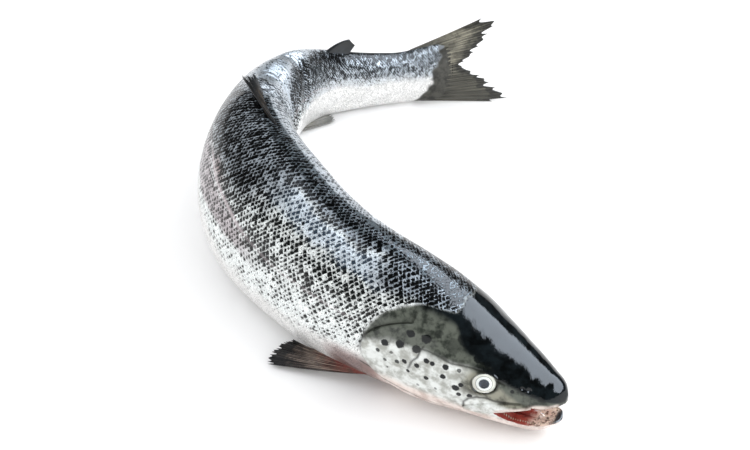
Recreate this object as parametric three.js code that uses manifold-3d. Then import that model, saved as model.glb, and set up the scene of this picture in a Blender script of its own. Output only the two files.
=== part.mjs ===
// A whole Atlantic salmon, not gutted, lying on its belly with its body bent in a C.
// The head points towards -Y and +X, the bend is on the -X side, and the tail points to +X.
// Millimetres, +Z up. The origin is on the table, under the middle of the bounding box.
import * as THREE from 'three';
import { mergeVertices } from 'three/addons/utils/BufferGeometryUtils.js';
import Module from 'manifold-3d';

const wasm = await Module();
wasm.setup();

// Driving dimensions. A station is a distance along the backbone as a share of LENGTH:
// 0 at the snout, 0.2 at the edge of the gill cover, 0.42 at the dorsal fin, 0.93 at the tail fin.
const LENGTH = 720;
const FIRST_STATION = -0.01;
const LAST_STATION = 1.06;
const SPINE_STEPS = 428;

// Heading of the backbone from head to tail, in degrees from +X.
const HEADING = [
  [-0.01, 150], [0.18, 150], [0.3, 132.5], [0.4, 121.6], [0.5, 99.7],
  [0.6, 76.3], [0.7, 65.5], [0.8, 18.7], [0.9, 8.5], [0.97, 0], [1.06, 0],
];

// Cross-section at each station: depth from back to belly, width, and gap under the belly.
// The belly dips below the table by up to 1.5 mm and is pressed flat there.
const SECTIONS = [
  [-0.006, 14, 4, 32], [-0.004, 29, 11, 20.5], [0, 39.5, 21.5, 14], [0.006, 46, 30, 10.5], [0.015, 55, 37, 5],
  [0.03, 65, 46, 2], [0.05, 75, 55, 1], [0.08, 89, 69, 0.5], [0.12, 106, 81, 0],
  [0.16, 118, 85, -0.5], [0.2, 126.5, 86, -1], [0.3, 137.5, 88, -1.5], [0.4, 146, 89, -1.5],
  [0.5, 145, 83, -1.5], [0.6, 130.5, 67, -1.5], [0.7, 102.5, 49, -1], [0.8, 70, 33, 0],
  [0.85, 59, 26, 1.5], [0.88, 56, 22, 2], [0.91, 58, 17, 2.5], [0.935, 60, 10, 3.5], [0.955, 57, 3.4, 5],
];

// How far the back leans towards the fish's left, in degrees, and how much wider the
// section is below its middle than above, as a share.
const LEAN = [
  [0, 4], [0.15, 4], [0.3, 10.3], [0.45, 17.4], [0.6, 10.9], [0.75, 6.4], [0.88, -4.5], [0.95, -12],
];
const SAG = [[0, 0], [0.1, 0.02], [0.25, 0.06], [0.5, 0.08], [0.7, 0.05], [0.9, 0]];

// Rings of the skin: they lie closer together on the head, most of all at the snout.
const NOSE_END = -0.006;
const HEAD_END = 0.25;
const TRUNK_END = 0.955;
const HEAD_RINGS = 35;
const TRUNK_RINGS = 32;
const RING_CROWDING = 0.35;
const SIDES = 36;

// Gill cover. Its rear edge is a parabola over the flank, farthest back at the height "middle"
// on the section, where 1 is the back and -1 the belly. It swells by "step", drops off behind
// the edge and fades out above "top" and towards the belly. Rings follow it between the warps.
const GILL = {
  rear: 0.205, curve: 0.123, middle: -0.1, top: 0.55, step: 2, rise: 0.05, fall: 0.0035, dip: 0.4,
  topReach: 0.2, topFade: 0.3, bottomFade: 0.2, warpFront: 0.05, warpRear: 0.29,
};

// Mouth, in the head's own frame: distance behind the snout and height above the table.
const HEAD_AXIS_HEIGHT = 40;
const MOUTH_CUT_WIDTH = 120;
const UPPER_LIP = [[-12, 38], [0, 38.6], [14, 37.6], [28, 34.5], [40, 29.5]];
const LOWER_LIP = [[44, 27], [38, 22.5], [28, 18.6], [14, 17.6], [0, 19.5], [-12, 20]];
const MOUTH_POCKET = { behind: 34, height: 26.5, length: 76, width: 30, depth: 26 };

// The upper jaw's side plate is a leaf, broadest towards its rear end.
const MAXILLA = {
  front: 16, rear: 66, frontHeight: 38.5, rearHeight: 25, halfWidth: 5.6, thickness: 3, proud: 0.1,
  outline: [0.06, 0.96], rearward: 1.6, bluntness: 0.7, droop: 1.25,
};

const EYE = { behind: 51, height: 54.5, radius: 10, halfThickness: 5, sunk: 3, gap: 0.3 };

// Fins are plates of straight rays that thin out to the tip, split between the rays.
const FIN_TIP_THICKNESS = 1.4;
const SPLIT_VARIATION = 0.4;
const SPLIT_RHYTHM = 2.3;

// Pairs in the fin sizes run from the front ray to the rear one. Stations, angles below the
// flank in degrees and depths under the skin place a root; reaches and slants place the tips.
const PECTORAL = {
  rays: 13, steps: 4, thickness: 5, splits: 0.07, stations: [0.2, 0.245], angle: 43, sunk: 4,
  rootHeights: [20, 24], tipHeights: [4, 12], reaches: [90, 44], narrowing: 1.3,
  slantRight: 0.24, slantLeft: 0.12, fan: 0.4, droop: -2.2,
};
const PELVIC = {
  rays: 9, steps: 4, thickness: 4, splits: 0.08, stations: [0.535, 0.565], angles: [64, 72], sunk: 3,
  rootHeights: [7, 5], tipHeights: [3, 2.2], reaches: [58, 34], slants: [0.2, 0.02],
};
const DORSAL = {
  rays: 11, steps: 5, thickness: 4.5, splits: 0.14, stations: [0.415, 0.525], sunk: 4,
  rises: [16, 9], reaches: [88, 22], narrowing: 0.8, slants: [0.01, -0.12],
};
const ADIPOSE = {
  rays: 4, steps: 4, thickness: 5, splits: 0, stations: [0.772, 0.806], sunk: 3,
  rises: [11, 10], reaches: [25, 8], droops: [2.6, 0],
};
const ANAL = {
  rays: 9, steps: 4, thickness: 4, splits: 0.08, stations: [0.692, 0.752], sunk: 4,
  rootHeight: 3.2, tipHeights: [3, 4], reaches: [60, 24], back: 0.77, slant: -0.64,
};

// Tail fin, in its own upright plane: share across the rays, distance behind the tail's wrist
// and height up the plane. The first ray runs along the table, the last up the upper lobe.
const TAIL = { rays: 17, steps: 5, thickness: 7, splits: 0.13, station: 0.9, sunk: 8, tilt: 12 };
const TAIL_ROOT = [[0, 2, 2.5], [0.2, 16, 12], [0.5, 24, 34], [0.8, 18, 54], [1, 2, 56]];
const TAIL_TIP = [
  [0, 79, 1.4], [0.06, 95, 6], [0.14, 86, 13], [0.25, 74, 23], [0.36, 65, 31],
  [0.48, 47, 40], [0.58, 54, 49], [0.7, 63, 60], [0.82, 72, 73], [0.93, 79, 87], [1, 66, 90],
];

const radians = THREE.MathUtils.degToRad;
const mix = THREE.MathUtils.lerp;
const clamp01 = (value) => Math.min(1, Math.max(0, value));
const smooth = (value) => clamp01(value) ** 2 * (3 - 2 * clamp01(value));

// Monotone cubic through rows of [x, value, ...]; it never overshoots between rows.
function curveThrough(rows, column = 1) {
  const x = rows.map((row) => row[0]);
  const y = rows.map((row) => row[column]);
  const last = x.length - 1;
  const slope = (i) => (y[i + 1] - y[i]) / (x[i + 1] - x[i]);
  const tangents = y.map((_, i) => {
    if (i === 0) return slope(0);
    if (i === last) return slope(last - 1);
    const before = slope(i - 1);
    const after = slope(i);
    return before * after <= 0 ? 0 : (2 * before * after) / (before + after);
  });
  return (at) => {
    const place = Math.min(x[last], Math.max(x[0], at));
    let i = 0;
    while (i < last - 1 && place > x[i + 1]) i += 1;
    const width = x[i + 1] - x[i];
    const t = (place - x[i]) / width;
    const startShare = (1 + 2 * t) * (1 - t) ** 2;
    const endShare = t * t * (3 - 2 * t);
    const bend = t * (1 - t) * ((1 - t) * tangents[i] - t * tangents[i + 1]) * width;
    return startShare * y[i] + endShare * y[i + 1] + bend;
  };
}

const heading = curveThrough(HEADING);
const depth = curveThrough(SECTIONS, 1);
const width = curveThrough(SECTIONS, 2);
const lift = curveThrough(SECTIONS, 3);
const lean = curveThrough(LEAN);
const sag = curveThrough(SAG);

// The backbone's plan: the headings added up from the snout.
const spineStep = (LAST_STATION - FIRST_STATION) / SPINE_STEPS;
const spine = [new THREE.Vector2()];
for (let i = 0; i < SPINE_STEPS; i += 1) {
  const angle = radians(heading(FIRST_STATION + (i + 0.5) * spineStep));
  const stride = new THREE.Vector2(Math.cos(angle), Math.sin(angle)).multiplyScalar(spineStep * LENGTH);
  spine.push(spine[i].clone().add(stride));
}

// The frame at a station: its point on the table, and the backward and rightward directions.
function frameAt(station) {
  const place = (Math.min(LAST_STATION, Math.max(FIRST_STATION, station)) - FIRST_STATION) / spineStep;
  const i = Math.min(SPINE_STEPS - 1, Math.floor(place));
  const point = spine[i].clone().lerp(spine[i + 1], place - i);
  const angle = radians(heading(station));
  return {
    point: new THREE.Vector3(point.x, point.y, 0),
    back: new THREE.Vector3(Math.cos(angle), Math.sin(angle), 0),
    right: new THREE.Vector3(-Math.sin(angle), Math.cos(angle), 0),
  };
}

// The station of the gill cover's edge at a height on the section, from -1 to 1.
function gillEdge(height) {
  return GILL.rear - GILL.curve * (Math.min(height, GILL.top) - GILL.middle) ** 2;
}

// How far the skin stands proud at a point: the gill cover swells and then steps down.
function relief(station, angle) {
  const height = Math.sin(angle);
  const behind = station - gillEdge(height);
  const belowTop = smooth((GILL.top + GILL.topReach - height) / GILL.topFade);
  const shown = belowTop * smooth((height + 1) / GILL.bottomFade);
  const rise = smooth((behind + GILL.rise) / GILL.rise);
  const fall = smooth(behind / GILL.fall);
  const dip = GILL.dip * fall * (1 - smooth(behind / GILL.rise));
  return GILL.step * shown * (rise * (1 - fall) - dip);
}

// A point of the skin. The angle goes round the section: 0 is the fish's right, 90 its back.
function skinPoint(station, angle, proud = 0) {
  const { point, right } = frameAt(station);
  const roll = radians(lean(station));
  const halfDepth = depth(station) / 2;
  const halfWidth = width(station) / 2;
  const middle = lift(station) + Math.hypot(halfDepth * Math.cos(roll), halfWidth * Math.sin(roll));
  const swell = proud + relief(station, angle);
  const across = (halfWidth + swell) * Math.cos(angle) * (1 - sag(station) * Math.sin(angle));
  const above = (halfDepth + swell) * Math.sin(angle);
  point.addScaledVector(right, across * Math.cos(roll) - above * Math.sin(roll));
  point.z = Math.max(0, middle + across * Math.sin(roll) + above * Math.cos(roll));
  return point;
}

// A closed mesh from its corner points and faces, turned so that its faces point outwards.
function closedGeometry(points, faces) {
  const volume = (total, [a, b, c]) => total + points[a].dot(points[b].clone().cross(points[c]));
  if (faces.reduce(volume, 0) < 0) faces.forEach((face) => face.reverse());
  const geometry = new THREE.BufferGeometry();
  geometry.setAttribute('position', new THREE.Float32BufferAttribute(points.flatMap((p) => p.toArray()), 3));
  geometry.setIndex(faces.flat());
  return geometry;
}

// The trunk and head: rings that lean with the gill cover's edge, closed at both ends.
function bodyGeometry() {
  const levels = [];
  for (let i = 0; i < HEAD_RINGS; i += 1) {
    const share = i / HEAD_RINGS;
    levels.push(mix(NOSE_END, HEAD_END, mix(share, share * share, RING_CROWDING)));
  }
  for (let i = 0; i <= TRUNK_RINGS; i += 1) levels.push(mix(HEAD_END, TRUNK_END, i / TRUNK_RINGS));
  const points = [];
  for (const level of levels) {
    const nearGill = level < GILL.rear
      ? smooth((level - GILL.warpFront) / (GILL.rear - GILL.warpFront))
      : 1 - smooth((level - GILL.rear) / (GILL.warpRear - GILL.rear));
    for (let side = 0; side < SIDES; side += 1) {
      const angle = (side / SIDES) * 2 * Math.PI;
      const station = level + (gillEdge(Math.sin(angle)) - GILL.rear) * nearGill;
      points.push(skinPoint(station, angle));
    }
  }
  const faces = [];
  for (let ring = 0; ring < levels.length - 1; ring += 1) {
    for (let side = 0; side < SIDES; side += 1) {
      const a = ring * SIDES + side;
      const b = ring * SIDES + ((side + 1) % SIDES);
      faces.push([a, b, b + SIDES], [a, b + SIDES, a + SIDES]);
    }
  }
  for (const [ring, flip] of [[0, false], [levels.length - 1, true]]) {
    const centre = new THREE.Vector3();
    for (let side = 0; side < SIDES; side += 1) {
      centre.addScaledVector(points[ring * SIDES + side], 1 / SIDES);
    }
    points.push(centre);
    for (let side = 0; side < SIDES; side += 1) {
      const a = ring * SIDES + side;
      const b = ring * SIDES + ((side + 1) % SIDES);
      faces.push(flip ? [a, b, points.length - 1] : [b, a, points.length - 1]);
    }
  }
  return closedGeometry(points, faces);
}

// A thin plate over a curved sheet: sheet(u, v) gives a point, u across the rays, v along them.
function plateGeometry(sheet, thickness, acrossSteps, alongSteps) {
  const points = [];
  const nudge = 0.004;
  for (const face of [1, -1]) {
    for (let i = 0; i <= acrossSteps; i += 1) {
      for (let j = 0; j <= alongSteps; j += 1) {
        const u = i / acrossSteps;
        const v = j / alongSteps;
        const du = sheet(Math.min(1, u + nudge), v).sub(sheet(Math.max(0, u - nudge), v));
        const dv = sheet(u, Math.min(1, v + nudge)).sub(sheet(u, Math.max(0, v - nudge)));
        const normal = du.cross(dv).normalize();
        points.push(sheet(u, v).addScaledVector(normal, (face * thickness(v)) / 2));
      }
    }
  }
  const row = alongSteps + 1;
  const count = (acrossSteps + 1) * row;
  const faces = [];
  for (let i = 0; i < acrossSteps; i += 1) {
    for (let j = 0; j < alongSteps; j += 1) {
      const a = i * row + j;
      faces.push([a, a + row, a + row + 1], [a, a + row + 1, a + 1]);
      const b = a + count;
      faces.push([b, b + row + 1, b + row], [b, b + 1, b + row + 1]);
    }
  }
  const wall = (a, b) => faces.push([a, b, b + count], [a, b + count, a + count]);
  for (let i = 0; i < acrossSteps; i += 1) {
    wall((i + 1) * row, i * row);
    wall(i * row + alongSteps, (i + 1) * row + alongSteps);
  }
  for (let j = 0; j < alongSteps; j += 1) {
    wall(j, j + 1);
    wall(acrossSteps * row + j + 1, acrossSteps * row + j);
  }
  return closedGeometry(points, faces);
}

// A fin of straight rays. ray(u) gives each ray's root and tip, and how far it bends up between.
function finGeometry({ rays, steps, thickness, splits }, ray) {
  const sheet = (u, v) => {
    const { root, tip, droop = 0 } = ray(u);
    const unevenness = 1 - SPLIT_VARIATION * (1 - Math.sin(u * rays * SPLIT_RHYTHM));
    const notch = splits * Math.abs(Math.sin(u * rays * Math.PI)) * unevenness;
    const point = root.clone().lerp(tip, v * (1 - notch));
    point.z += droop * v * (1 - v) * 4;
    return point;
  };
  return plateGeometry(sheet, (v) => mix(thickness, FIN_TIP_THICKNESS, v), rays * 2, steps);
}

// A direction in a station's frame, level with the table: backwards and to the right.
function towards(station, back, right) {
  const frame = frameAt(station);
  return frame.back.multiplyScalar(back).addScaledVector(frame.right, right);
}

// Pectoral fin: behind the gill cover, fanned out on the table; side is 1 on the right, -1 on the left.
function pectoralFin(side) {
  const slant = side > 0 ? PECTORAL.slantRight : PECTORAL.slantLeft;
  const angle = radians(-90 + side * (90 - PECTORAL.angle));
  return finGeometry(PECTORAL, (u) => {
    const root = skinPoint(mix(...PECTORAL.stations, u), angle, -PECTORAL.sunk);
    root.z = mix(...PECTORAL.rootHeights, u);
    const spread = towards(PECTORAL.stations[0], 1, side * (slant - PECTORAL.fan * u)).normalize();
    const tip = root.clone().addScaledVector(spread, mix(...PECTORAL.reaches, u ** PECTORAL.narrowing));
    tip.z = mix(...PECTORAL.tipHeights, u);
    return { root, tip, droop: PECTORAL.droop };
  });
}

// Pelvic fin: folded back under the belly; side as above.
function pelvicFin(side) {
  return finGeometry(PELVIC, (u) => {
    const angle = radians(-90 + side * (90 - mix(...PELVIC.angles, u)));
    const root = skinPoint(mix(...PELVIC.stations, u), angle, -PELVIC.sunk);
    const spread = towards(PELVIC.stations[1], 1, side * mix(...PELVIC.slants, u));
    const tip = root.clone().addScaledVector(spread, mix(...PELVIC.reaches, u));
    root.z = mix(...PELVIC.rootHeights, u);
    tip.z = mix(...PELVIC.tipHeights, u);
    return { root, tip };
  });
}

// Dorsal fin: folded down, its long front rays reaching back past the bend.
function dorsalFin() {
  return finGeometry(DORSAL, (u) => {
    const root = skinPoint(mix(...DORSAL.stations, u), radians(90), -DORSAL.sunk);
    const spread = towards(DORSAL.stations[0], 1, mix(...DORSAL.slants, u));
    const tip = root.clone().addScaledVector(spread, mix(...DORSAL.reaches, u ** DORSAL.narrowing));
    tip.z = root.z + mix(...DORSAL.rises, u);
    return { root, tip };
  });
}

// Adipose fin: a small fleshy flap on the back, swept towards the tail.
function adiposeFin() {
  return finGeometry(ADIPOSE, (u) => {
    const root = skinPoint(mix(...ADIPOSE.stations, u), radians(90), -ADIPOSE.sunk);
    const tip = root.clone().addScaledVector(towards(ADIPOSE.stations[1], 1, 0), mix(...ADIPOSE.reaches, u));
    tip.z = root.z + mix(...ADIPOSE.rises, u);
    return { root, tip, droop: mix(...ADIPOSE.droops, u) };
  });
}

// Anal fin: pressed out to the left, its front ray showing on the table.
function analFin() {
  return finGeometry(ANAL, (u) => {
    const root = skinPoint(mix(...ANAL.stations, u), radians(-90), -ANAL.sunk);
    root.z = ANAL.rootHeight;
    const spread = towards(ANAL.stations[0], ANAL.back, ANAL.slant);
    const tip = root.clone().addScaledVector(spread, mix(...ANAL.reaches, u));
    tip.z = mix(...ANAL.tipHeights, u);
    return { root, tip };
  });
}

function tailFin() {
  const foot = skinPoint(TAIL.station, radians(-90)).setZ(0);
  const tilt = radians(TAIL.tilt);
  const upward = new THREE.Vector3(0, Math.sin(tilt), Math.cos(tilt));
  const inPlane = (along, height) => foot.clone().addScaledVector(upward, height).setX(foot.x + along);
  const [rootAlong, rootHeight] = [1, 2].map((column) => curveThrough(TAIL_ROOT, column));
  const [tipAlong, tipHeight] = [1, 2].map((column) => curveThrough(TAIL_TIP, column));
  return finGeometry(TAIL, (u) => ({
    root: inPlane(rootAlong(u) - TAIL.sunk, rootHeight(u)),
    tip: inPlane(tipAlong(u), tipHeight(u)),
  }));
}

// The head's frame: behind the snout, to the right of the middle and up, leaning with the head.
const headFrame = frameAt(0);
const headRoll = radians(lean(0));
const headRight = headFrame.right.clone().multiplyScalar(Math.cos(headRoll));
headRight.z = Math.sin(headRoll);
const headUp = new THREE.Vector3().crossVectors(headFrame.back, headRight);
const headMatrix = new THREE.Matrix4().makeBasis(headFrame.back, headUp, headRight.clone().negate());
headMatrix.setPosition(headFrame.point.clone().add(new THREE.Vector3(0, 0, HEAD_AXIS_HEIGHT)));

// The gap between the lips, cut through from cheek to cheek.
function mouthGap() {
  const outline = new THREE.Shape();
  outline.moveTo(UPPER_LIP[0][0], UPPER_LIP[0][1] - HEAD_AXIS_HEIGHT);
  const corners = [...UPPER_LIP, ...LOWER_LIP].map(([x, y]) => new THREE.Vector2(x, y - HEAD_AXIS_HEIGHT));
  outline.splineThru(corners.slice(1, UPPER_LIP.length));
  outline.splineThru(corners.slice(UPPER_LIP.length));
  outline.closePath();
  const across = { depth: MOUTH_CUT_WIDTH, bevelEnabled: false, curveSegments: 3 };
  const geometry = new THREE.ExtrudeGeometry(outline, across).translate(0, 0, -MOUTH_CUT_WIDTH / 2);
  return geometry.applyMatrix4(headMatrix);
}

// The hollow between the jaws, behind the lips.
function mouthPocket() {
  const { behind, height, length, width: across, depth: tall } = MOUTH_POCKET;
  const geometry = new THREE.SphereGeometry(0.5, 16, 10);
  geometry.scale(length, tall, across).translate(behind, height - HEAD_AXIS_HEIGHT, 0);
  return geometry.applyMatrix4(headMatrix);
}

// The angle on a section where the skin is at a height in the head's frame.
function angleAtHeight(station, height, side) {
  const roll = radians(lean(station));
  const half = Math.hypot(depth(station) / 2 * Math.cos(roll), width(station) / 2 * Math.sin(roll));
  const rise = Math.asin(Math.max(-1, Math.min(1, (height - lift(station) - half) / (depth(station) / 2))));
  return side > 0 ? rise : Math.PI - rise;
}

// The upper jaw's side plate, a long leaf that ends behind the corner of the mouth.
function maxilla(side) {
  const sheet = (u, v) => {
    const station = mix(MAXILLA.front, MAXILLA.rear, u) / LENGTH;
    const leaf = Math.sin(Math.PI * mix(...MAXILLA.outline, u ** MAXILLA.rearward)) ** MAXILLA.bluntness;
    const middle = mix(MAXILLA.frontHeight, MAXILLA.rearHeight, u ** MAXILLA.droop);
    const height = middle + MAXILLA.halfWidth * leaf * (2 * v - 1);
    return skinPoint(station, angleAtHeight(station, height, side), MAXILLA.proud);
  };
  return plateGeometry(sheet, () => MAXILLA.thickness, 10, 2);
}

// The place of an eye: its centre, sunk below the skin, and the direction that it looks.
function eyePlace(side) {
  const station = EYE.behind / LENGTH;
  const angle = angleAtHeight(station, EYE.height, side);
  const step = 0.004;
  const along = skinPoint(station + step, angle).sub(skinPoint(station - step, angle));
  const around = skinPoint(station, angle + step).sub(skinPoint(station, angle - step));
  const normal = around.cross(along).normalize();
  return { centre: skinPoint(station, angle).addScaledVector(normal, -EYE.sunk), normal };
}

function eyeGeometry(side, grow) {
  const { centre, normal } = eyePlace(side);
  const geometry = new THREE.SphereGeometry(1, 20, 12);
  geometry.scale(EYE.radius + grow, EYE.halfThickness + grow, EYE.radius + grow);
  geometry.applyQuaternion(new THREE.Quaternion().setFromUnitVectors(new THREE.Vector3(0, 1, 0), normal));
  return geometry.translate(centre.x, centre.y, centre.z);
}

// A solid for joining and cutting, from a closed geometry.
function solid(geometry) {
  const bare = geometry.clone();
  bare.deleteAttribute('normal');
  bare.deleteAttribute('uv');
  const merged = mergeVertices(bare, 1e-4);
  return new wasm.Manifold(new wasm.Mesh({
    numProp: 3,
    vertProperties: new Float32Array(merged.attributes.position.array),
    triVerts: new Uint32Array(merged.index.array),
  }));
}

function geometryOf(manifold) {
  const mesh = manifold.getMesh();
  const geometry = new THREE.BufferGeometry();
  geometry.setAttribute('position', new THREE.Float32BufferAttribute(mesh.vertProperties, 3));
  geometry.setIndex(Array.from(mesh.triVerts));
  geometry.computeVertexNormals();
  return geometry;
}

// The fish is one piece: jaws, fins and body are joined, and the mouth and eye sockets cut out.
function fishGeometry() {
  let fish = solid(bodyGeometry());
  fish = fish.subtract(solid(mouthGap())).subtract(solid(mouthPocket()));
  const joined = [
    maxilla(1), maxilla(-1), pectoralFin(1), pectoralFin(-1), pelvicFin(1), pelvicFin(-1),
    dorsalFin(), adiposeFin(), analFin(), tailFin(),
  ];
  for (const geometry of joined) fish = fish.add(solid(geometry));
  for (const side of [1, -1]) fish = fish.subtract(solid(eyeGeometry(side, EYE.gap)));
  return geometryOf(fish);
}

function piece(name, geometry, colour, roughness, metalness) {
  const material = new THREE.MeshStandardMaterial({ color: colour, roughness, metalness });
  const mesh = new THREE.Mesh(geometry, material);
  mesh.name = name;
  return mesh;
}

const salmon = new THREE.Group();
salmon.add(piece('salmon', fishGeometry(), 0x8f9aa3, 0.3, 0.2));
salmon.add(piece('eye_right', eyeGeometry(1, 0), 0xe8e4d2, 0.1, 0));
salmon.add(piece('eye_left', eyeGeometry(-1, 0), 0xe8e4d2, 0.1, 0));

const bounds = new THREE.Box3().setFromObject(salmon);
const middle = bounds.getCenter(new THREE.Vector3());
for (const mesh of salmon.children) mesh.geometry.translate(-middle.x, -middle.y, -bounds.min.z);

export default salmon;
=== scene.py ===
"""Looks of a whole raw Atlantic salmon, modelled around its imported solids. Lengths are in millimetres
until a mesh is written, then in metres. A station is a share of the fish's length behind the snout."""
import itertools
import math
from functools import partial

import bmesh
import bpy
import numpy as np
from bpy.props import FloatProperty, FloatVectorProperty, PointerProperty
from bpy.types import Operator, Panel, PropertyGroup
from mathutils import Matrix, Vector
from mathutils.kdtree import KDTree

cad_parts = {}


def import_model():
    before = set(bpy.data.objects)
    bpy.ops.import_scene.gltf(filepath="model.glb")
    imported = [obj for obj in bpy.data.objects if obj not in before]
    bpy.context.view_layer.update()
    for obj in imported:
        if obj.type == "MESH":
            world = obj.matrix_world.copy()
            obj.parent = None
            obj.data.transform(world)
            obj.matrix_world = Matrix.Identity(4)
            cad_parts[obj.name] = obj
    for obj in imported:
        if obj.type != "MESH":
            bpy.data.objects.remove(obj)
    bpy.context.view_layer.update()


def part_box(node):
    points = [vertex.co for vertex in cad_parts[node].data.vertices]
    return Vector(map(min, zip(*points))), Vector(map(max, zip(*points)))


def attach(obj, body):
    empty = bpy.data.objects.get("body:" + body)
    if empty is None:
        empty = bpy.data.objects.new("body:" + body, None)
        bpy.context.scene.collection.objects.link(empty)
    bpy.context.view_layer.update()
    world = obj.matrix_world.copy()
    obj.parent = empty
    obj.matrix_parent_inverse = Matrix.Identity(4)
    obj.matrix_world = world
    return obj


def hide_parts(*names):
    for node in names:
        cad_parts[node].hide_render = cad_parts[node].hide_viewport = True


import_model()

bl_info = {
    "name": "Whole Atlantic salmon",
    "version": (1, 0, 0),
    "blender": (4, 5, 0),
    "location": "View3D > Sidebar > Salmon",
    "description": "Builds the skin, fins, jaws and eyes of a whole salmon, and its studio",
    "category": "Add Mesh",
}

MM = 0.001
BODY = "root"
FISH = "salmon"
SIDES = {1: "right", -1: "left"}

# The body, as the solid has it: heading of the backbone in degrees, then depth, width and gap under
# the belly at each station, how far the back leans to the left, and how far the flanks sag.
LENGTH = 720
FIRST_STATION = -0.01
LAST_STATION = 1.06
SPINE_STEPS = 428
HEADING = [
    (-0.01, 150), (0.18, 150), (0.3, 132.5), (0.4, 121.6), (0.5, 99.7),
    (0.6, 76.3), (0.7, 65.5), (0.8, 18.7), (0.9, 8.5), (0.97, 0), (1.06, 0),
]
SECTIONS = [
    (-0.006, 14, 4, 32), (-0.004, 29, 11, 20.5), (0, 39.5, 21.5, 14), (0.006, 46, 30, 10.5),
    (0.015, 55, 37, 5), (0.03, 65, 46, 2), (0.05, 75, 55, 1), (0.08, 89, 69, 0.5), (0.12, 106, 81, 0),
    (0.16, 118, 85, -0.5), (0.2, 126.5, 86, -1), (0.3, 137.5, 88, -1.5), (0.4, 146, 89, -1.5),
    (0.5, 145, 83, -1.5), (0.6, 130.5, 67, -1.5), (0.7, 102.5, 49, -1), (0.8, 70, 33, 0),
    (0.85, 59, 26, 1.5), (0.88, 56, 22, 2), (0.91, 58, 17, 2.5), (0.935, 60, 10, 3.5), (0.955, 57, 3.4, 5),
]
LEAN = [(0, 4), (0.15, 4), (0.3, 10.3), (0.45, 17.4), (0.6, 10.9), (0.75, 6.4), (0.88, -4.5), (0.95, -12)]
SAG = [(0, 0), (0.1, 0.02), (0.25, 0.06), (0.5, 0.08), (0.7, 0.05), (0.9, 0)]

# The skin is three tubes end to end. Behind the head their rings stand RING_SPACING mm apart.
NOSE_END = -0.006
HEAD_END = 0.235
HEAD_RINGS = 210
FORE_RINGS = 193
REAR_RINGS = 278
COLUMNS = 320
RING_CROWDING = 0.35
RING_SPACING = 1.1

# Gill cover: the parabola of its rear edge, its swell, and the section of its lip, in mm behind
# the edge and mm proud, from the outer face round the edge to the skin below.
GILL = {
    "rear": 0.205, "curve": 0.123, "middle": -0.1, "top": 0.55, "step": 2, "rise": 0.05, "fall": 0.0035,
    "dip": 0.4, "top_reach": 0.2, "top_fade": 0.3, "bottom_fade": 0.2, "warp_front": 0.05, "warp_rear": 0.29,
}
GILL_LIP = [
    (-1.6, 2.0), (-0.6, 1.9), (0.1, 1.55), (0.3, 0.95), (0.1, 0.4), (-0.7, 0.1), (-1.7, -0.5),
    (-0.9, -0.85), (0.4, -0.8), (1.4, -0.8),
]

# Mouth, in the head's own frame: distance behind the snout and height above the table. The pocket
# behind the lips and the tongue are lumpy balls: centre, half sizes, rise to the rear, and for their
# lumps the height, size, seed and the axis of the ball that moves each axis of the head.
HEAD_AXIS_HEIGHT = 40
MOUTH_CUT = {"width": 120, "slices": 90, "steps": 48, "lumps": [(0.7, 4.5, 8), (0.4, 2.2, 9)]}
UPPER_LIP = [(-12, 38), (0, 38.6), (14, 37.6), (28, 34.5), (40, 29.5), (44, 27)]
LOWER_LIP = [(44, 27), (38, 22.5), (28, 18.6), (14, 17.6), (0, 19.5), (-12, 20)]
POCKET = {"centre": (34, 26.5), "halves": (38, 15, 13), "rise": 0, "lumps": [(0.5, 5, 6)], "axes": (0, 1, 2)}
TONGUE = {
    "centre": (31, 15.5), "halves": (22, 6.5, 3), "rise": 0.8, "lumps": [(0.3, 3, 4)], "axes": (0, 2, 1),
}
MAXILLA = {
    "front": 16, "rear": 66, "front_height": 38.5, "rear_height": 25, "half_width": 5.6, "thickness": 3,
    "proud": 0.1, "outline": (0.06, 0.96), "rearward": 1.6, "bluntness": 0.7, "droop": 1.25,
    "points": (70, 25), "sharpness": (12, 5),
}
TEETH = {
    "teeth_lower": {
        "lip": [(2, 19.3), (14, 17.6), (28, 18.6), (38, 22.5)], "inward": 4.5, "up": 1, "spread": 0.9,
    },
    "teeth_upper": {
        "lip": [(2, 38.6), (14, 37.6), (28, 34.5), (40, 29.5)], "inward": 4, "up": -1, "spread": 0.92,
    },
}
TEETH_PER_SIDE = 20
TOOTH_SEED = 25
TOOTH = {"root": 0.55, "tip": 0.1, "sunk": 0.8, "lean": (0.1, 0.35), "lean_in": 0.25, "shares": (0.7, 1.15)}

# Eyes: place, and how deep the centre lies below the skin. Then half sizes of the pieces in mm, how far
# they stand out from that centre, and the share of its depth at which the cornea is cut flat.
EYE = {"behind": 51, "height": 54.5, "sunk": 3}
EYE_FLATNESS = 1.18
EYE_RADIUS = 11.2
EYEBALL = {"radii": (EYE_RADIUS, EYE_RADIUS, 2.5), "offset": 0.3}
CORNEA = {"radii": (9.6, 9.6, 2), "offset": 1.6, "cut": 0.02}
SOCKET = {"depth": 3.4, "radius": 8.6, "soft": 1.2}
EYE_RIM = {"height": 0.9, "radius": 10.8, "soft": 1.2}
NOSTRILS = [(20, 52.3, 1.7), (24.5, 53.2, 1.3)]
NOSTRIL_DEPTH = 1.2
CREASE_DEPTH = 0.35
# Soft lumps of the head, and how far the borders of the colours waver, in degrees: height, size, seed.
HEAD_LUMPS = [(0.35, 16, 3), (0.1, 6, 5)]
WOBBLE = [(5, 22, 1), (3, 7, 2)]

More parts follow.
